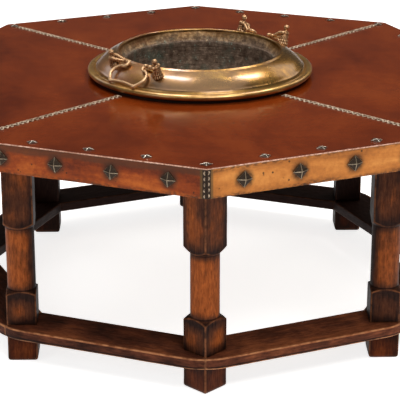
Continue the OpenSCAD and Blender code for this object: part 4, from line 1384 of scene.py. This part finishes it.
def wax_figure(height):
    """A kneeling person as overlapping lumps. A height below 1 makes the body crouch."""
    shape = bmesh.new()

    def body(h, out, fwd):
        return place(h * height, out, fwd)

    gown = ((2.0, 0.5, (11.2, 10.2, 6.5)), (8.0, 0.3, (9.8, 9.2, 7.0)), (14, 0, (8.8, 7.8, 7.0)),
            (20, 0, (8.6, 7.2, 6.5)), (25, 0.2, (8.8, 6.8, 5.6)), (28.6, 0.3, (6.2, 5.0, 3.6)))
    for h, fwd, radii in gown:
        lump(shape, body(h, 0, fwd), radii)
    # The neck and the head, with a cap and its rolled brim, and a sash round the waist.
    limb(shape, body(28, 0, 0.3), body(34, 0, 1.0), 3.4, 3.1, 4)
    head = body(HEAD_UP, 0, 1.6)
    lump(shape, head, (4.8, 5.2, 5.6))
    for h, fwd, radii in ((3.2, -0.9, (5.5, 5.7, 3.0)), (5.0, -1.2, (4.1, 4.3, 2.4))):
        lump(shape, beside(head, h, 0, fwd), radii)
    for n in range(14):
        a = 2 * math.pi * n / 14
        brim = beside(head, 2.0 + 0.5 * math.cos(a), 5.0 * math.sin(a), 4.9 * math.cos(a) - 0.8)
        lump(shape, brim, (1.3, 1.3, 1.2))
        lump(shape, body(18.0 + 0.5 * math.cos(a), 8.3 * math.sin(a), 7.0 * math.cos(a)), (1.2, 1.2, 1.3))
    # Nose and chin.
    lump(shape, beside(head, -0.6, 0, 5.3), (0.8, 1.1, 1.3))
    lump(shape, beside(head, -4.2, 0, 3.2), (1.7, 1.6, 1.3))
    # On each side an arm with its hanging sleeve and hand, and a bent knee.
    for side in (-1, 1):
        shoulder, elbow = body(26.0, 7.2 * side, 0.8), place(24.0 * (0.5 + height / 2), 6.6 * side, 13.0)
        grip = np.array([2.4 * side, EYE_IN + 11.8, 0.4])
        limb(shape, shoulder, elbow, 4.2, 3.5, 10)
        limb(shape, elbow, grip, 3.4, 2.5, 8)
        lump(shape, elbow * 0.55 + grip * 0.45 - np.array([0, 0, 1.6]), (2.6, 3.0, 3.6))
        lump(shape, grip, (2.8, 2.6, 2.8))
        knee = place(6.5, 4.8 * side, 9.0)
        limb(shape, place(2.5, 5.6 * side, 2), knee, 4.8, 4.2, 6)
        limb(shape, knee, place(1.0, 5.0 * side, 10.2), 4.0, 3.5, 5)
    # The stem from the body to the eye.
    limb(shape, np.array([0, EYE_IN + 13.0, 0]), body(15, 0, 3), 3.2, 4.4, 8)
    mesh = bpy.data.meshes.new("wax")
    shape.to_mesh(mesh)
    shape.free()
    holder = add_object("wax", mesh)
    melt = holder.modifiers.new("fuse", "REMESH")
    melt.mode, melt.voxel_size = "VOXEL", 0.55
    calm = holder.modifiers.new("calm", "SMOOTH")
    calm.factor, calm.iterations = 0.5, 4
    return settled(holder)


# %% Press in the face and the folds
def model_details(mesh, height):
    """The points of a figure, with its face and folds pressed in and its foot cut to the flange."""
    co = points_of(mesh)
    normal = array_of(mesh.vertex_normals, "vector", 3).astype(float)
    h, out, fwd = from_handle(co)
    push = np.zeros(len(co))
    face_up = HEAD_UP * height

    def press(at, depth, size):
        gap = ((h - at[0]) / size[0]) ** 2 + ((out - at[1]) / size[1]) ** 2 + ((fwd - at[2]) / size[2]) ** 2
        return depth * np.exp(-gap)

    for side in (-1, 1):
        push += press((face_up + 0.5, 1.9 * side, 6.3), -0.75, (0.85, 1.0, 2.0))
        push += press((face_up - 1.5, 2.4 * side, 5.6), 0.15, (1.0, 1.0, 1.5))
    push += press((face_up - 2.6, 0, 6.4), -0.30, (0.30, 1.4, 1.5))
    turn = np.arctan2(out, fwd)
    skirt = np.clip((17 - h) / 8, 0, 1) * np.clip((h + 4) / 4, 0, 1)
    push += 0.55 * skirt * np.sin(13 * turn + 1.5 * np.sin(2 * turn) + 0.06 * h) * (np.hypot(out, fwd) < 13)
    sleeve = np.clip((fwd - 2) / 3, 0, 1) * np.clip((h - 19) / 3, 0, 1) * (h < 31)
    push += 0.28 * sleeve * np.sin(1.9 * fwd + 0.8 * out)
    co += normal * push[:, None]
    low = [flange_height(min(232.0, float(np.hypot(x + HINGE_R, y)))) for x, y in co[:, :2]]
    co[:, 2] = np.maximum(co[:, 2], np.array(low) - HINGE_Z + 0.05)
    return co


def eye_collar():
    """The sleeve that holds a pivot: a short turned tube with a blind hole, in the handle's frame."""
    hole = [(0.0, 9.6), (2.06, 9.6), (2.06, 0.3), (2.35, 0.0)]
    outside = [(3.9, 0.0), (4.4, 0.5), (4.5, 1.2), (4.3, 2.2), (4.05, 3.2), (4.05, 8.0), (4.4, 9.5),
               (4.5, 10.8), (4.2, 12.0), (3.2, 12.9), (0.0, 13.1)]
    line = hole + outside
    around = 28
    points = [(x, EYE_IN + along, z) for x, z, along in spin(line, around)]
    return points, grid_faces(len(line), around, wrap=True)


# %% Cast the figures
def cast_figure(name, side, mirror, height):
    wax = wax_figure(height)
    body = model_details(wax, height)
    collar, collar_faces = eye_collar()
    faces = [tuple(p.vertices) for p in wax.polygons]
    faces += [tuple(v + len(body) for v in face) for face in collar_faces]
    local = np.vstack([body, collar])
    if mirror:
        local[:, 1] *= -1
    mesh = new_mesh(f"figure_{name}_cast", handle_to_world(local, HANDLES[side]), faces)
    mark_edges(mesh, 0.0022, 2)
    return new_piece(mesh, "brazier", [f"figure_{name}"], [cast_metal])


# The left pair crouches a little. The right pair is as tall as the frame's.
POSES = (("left_rear", "left", True, 0.86), ("left_front", "left", False, 0.95),
         ("right_front", "right", True, 0.999), ("right_rear", "right", False, 0.999))
figures = [cast_figure(*pose) for pose in POSES]
print("figures:", face_count(figures), "faces")


# %% [markdown]
# ## Parts that keep the frame's own shape
#
# The boards behind the leather, the glue blocks, dowels, rivets and the seat ring are plain work
# and hardly seen. They could be made anew, but the frame's solids are already right, so they stay
# and only get a finish.

# %% Plain wood
def sawn_wood(name, dark, light, turn=(0, 0, 0)):
    f = Finish(name, Specular_IOR_Level=0.25)
    fibre = f.noise(f.place((4, 60, 60), turn), 1.0, 6, 0.6, 0.4)
    saw = f.noise(f.place((160, 6, 6), turn), 1.0, 3, 0.5)
    f.bump((fibre, 0.3, 0.001), (saw, 0.2, 0.0008))
    colour = f.ramp(fibre, (0.32, dark), (0.68, light))
    return f.done(f.mix(f.span(f.noise(f.place(), 16, 4), 0.4, 0.7, 0, 0.4), colour, dark), 0.7)


sawn_apron = sawn_wood("apron_wood", (0.055, 0.026, 0.013), (0.15, 0.080, 0.042))
sawn_board = sawn_wood("board_wood", (0.060, 0.030, 0.016), (0.16, 0.090, 0.048), (0, 0, 0.6))
dowel_wood = sawn_wood("dowel_wood", (0.30, 0.19, 0.10), (0.48, 0.33, 0.19), (0, math.pi / 2, 0))
seat_wood = sawn_wood("ring_wood", (0.012, 0.006, 0.004), (0.045, 0.020, 0.011))
KEPT = {"top_board": sawn_board, "corner_blocks": sawn_apron, "dowels": dowel_wood, "seat_ring": seat_wood,
        "figure_rivets": brazier_brass}
KEPT.update({f"apron_{k}": sawn_apron for k in range(1, 9)})
for node, material in KEPT.items():
    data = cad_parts[node].data
    data.materials.clear()
    data.materials.append(material)
print("kept nodes:", len(KEPT))
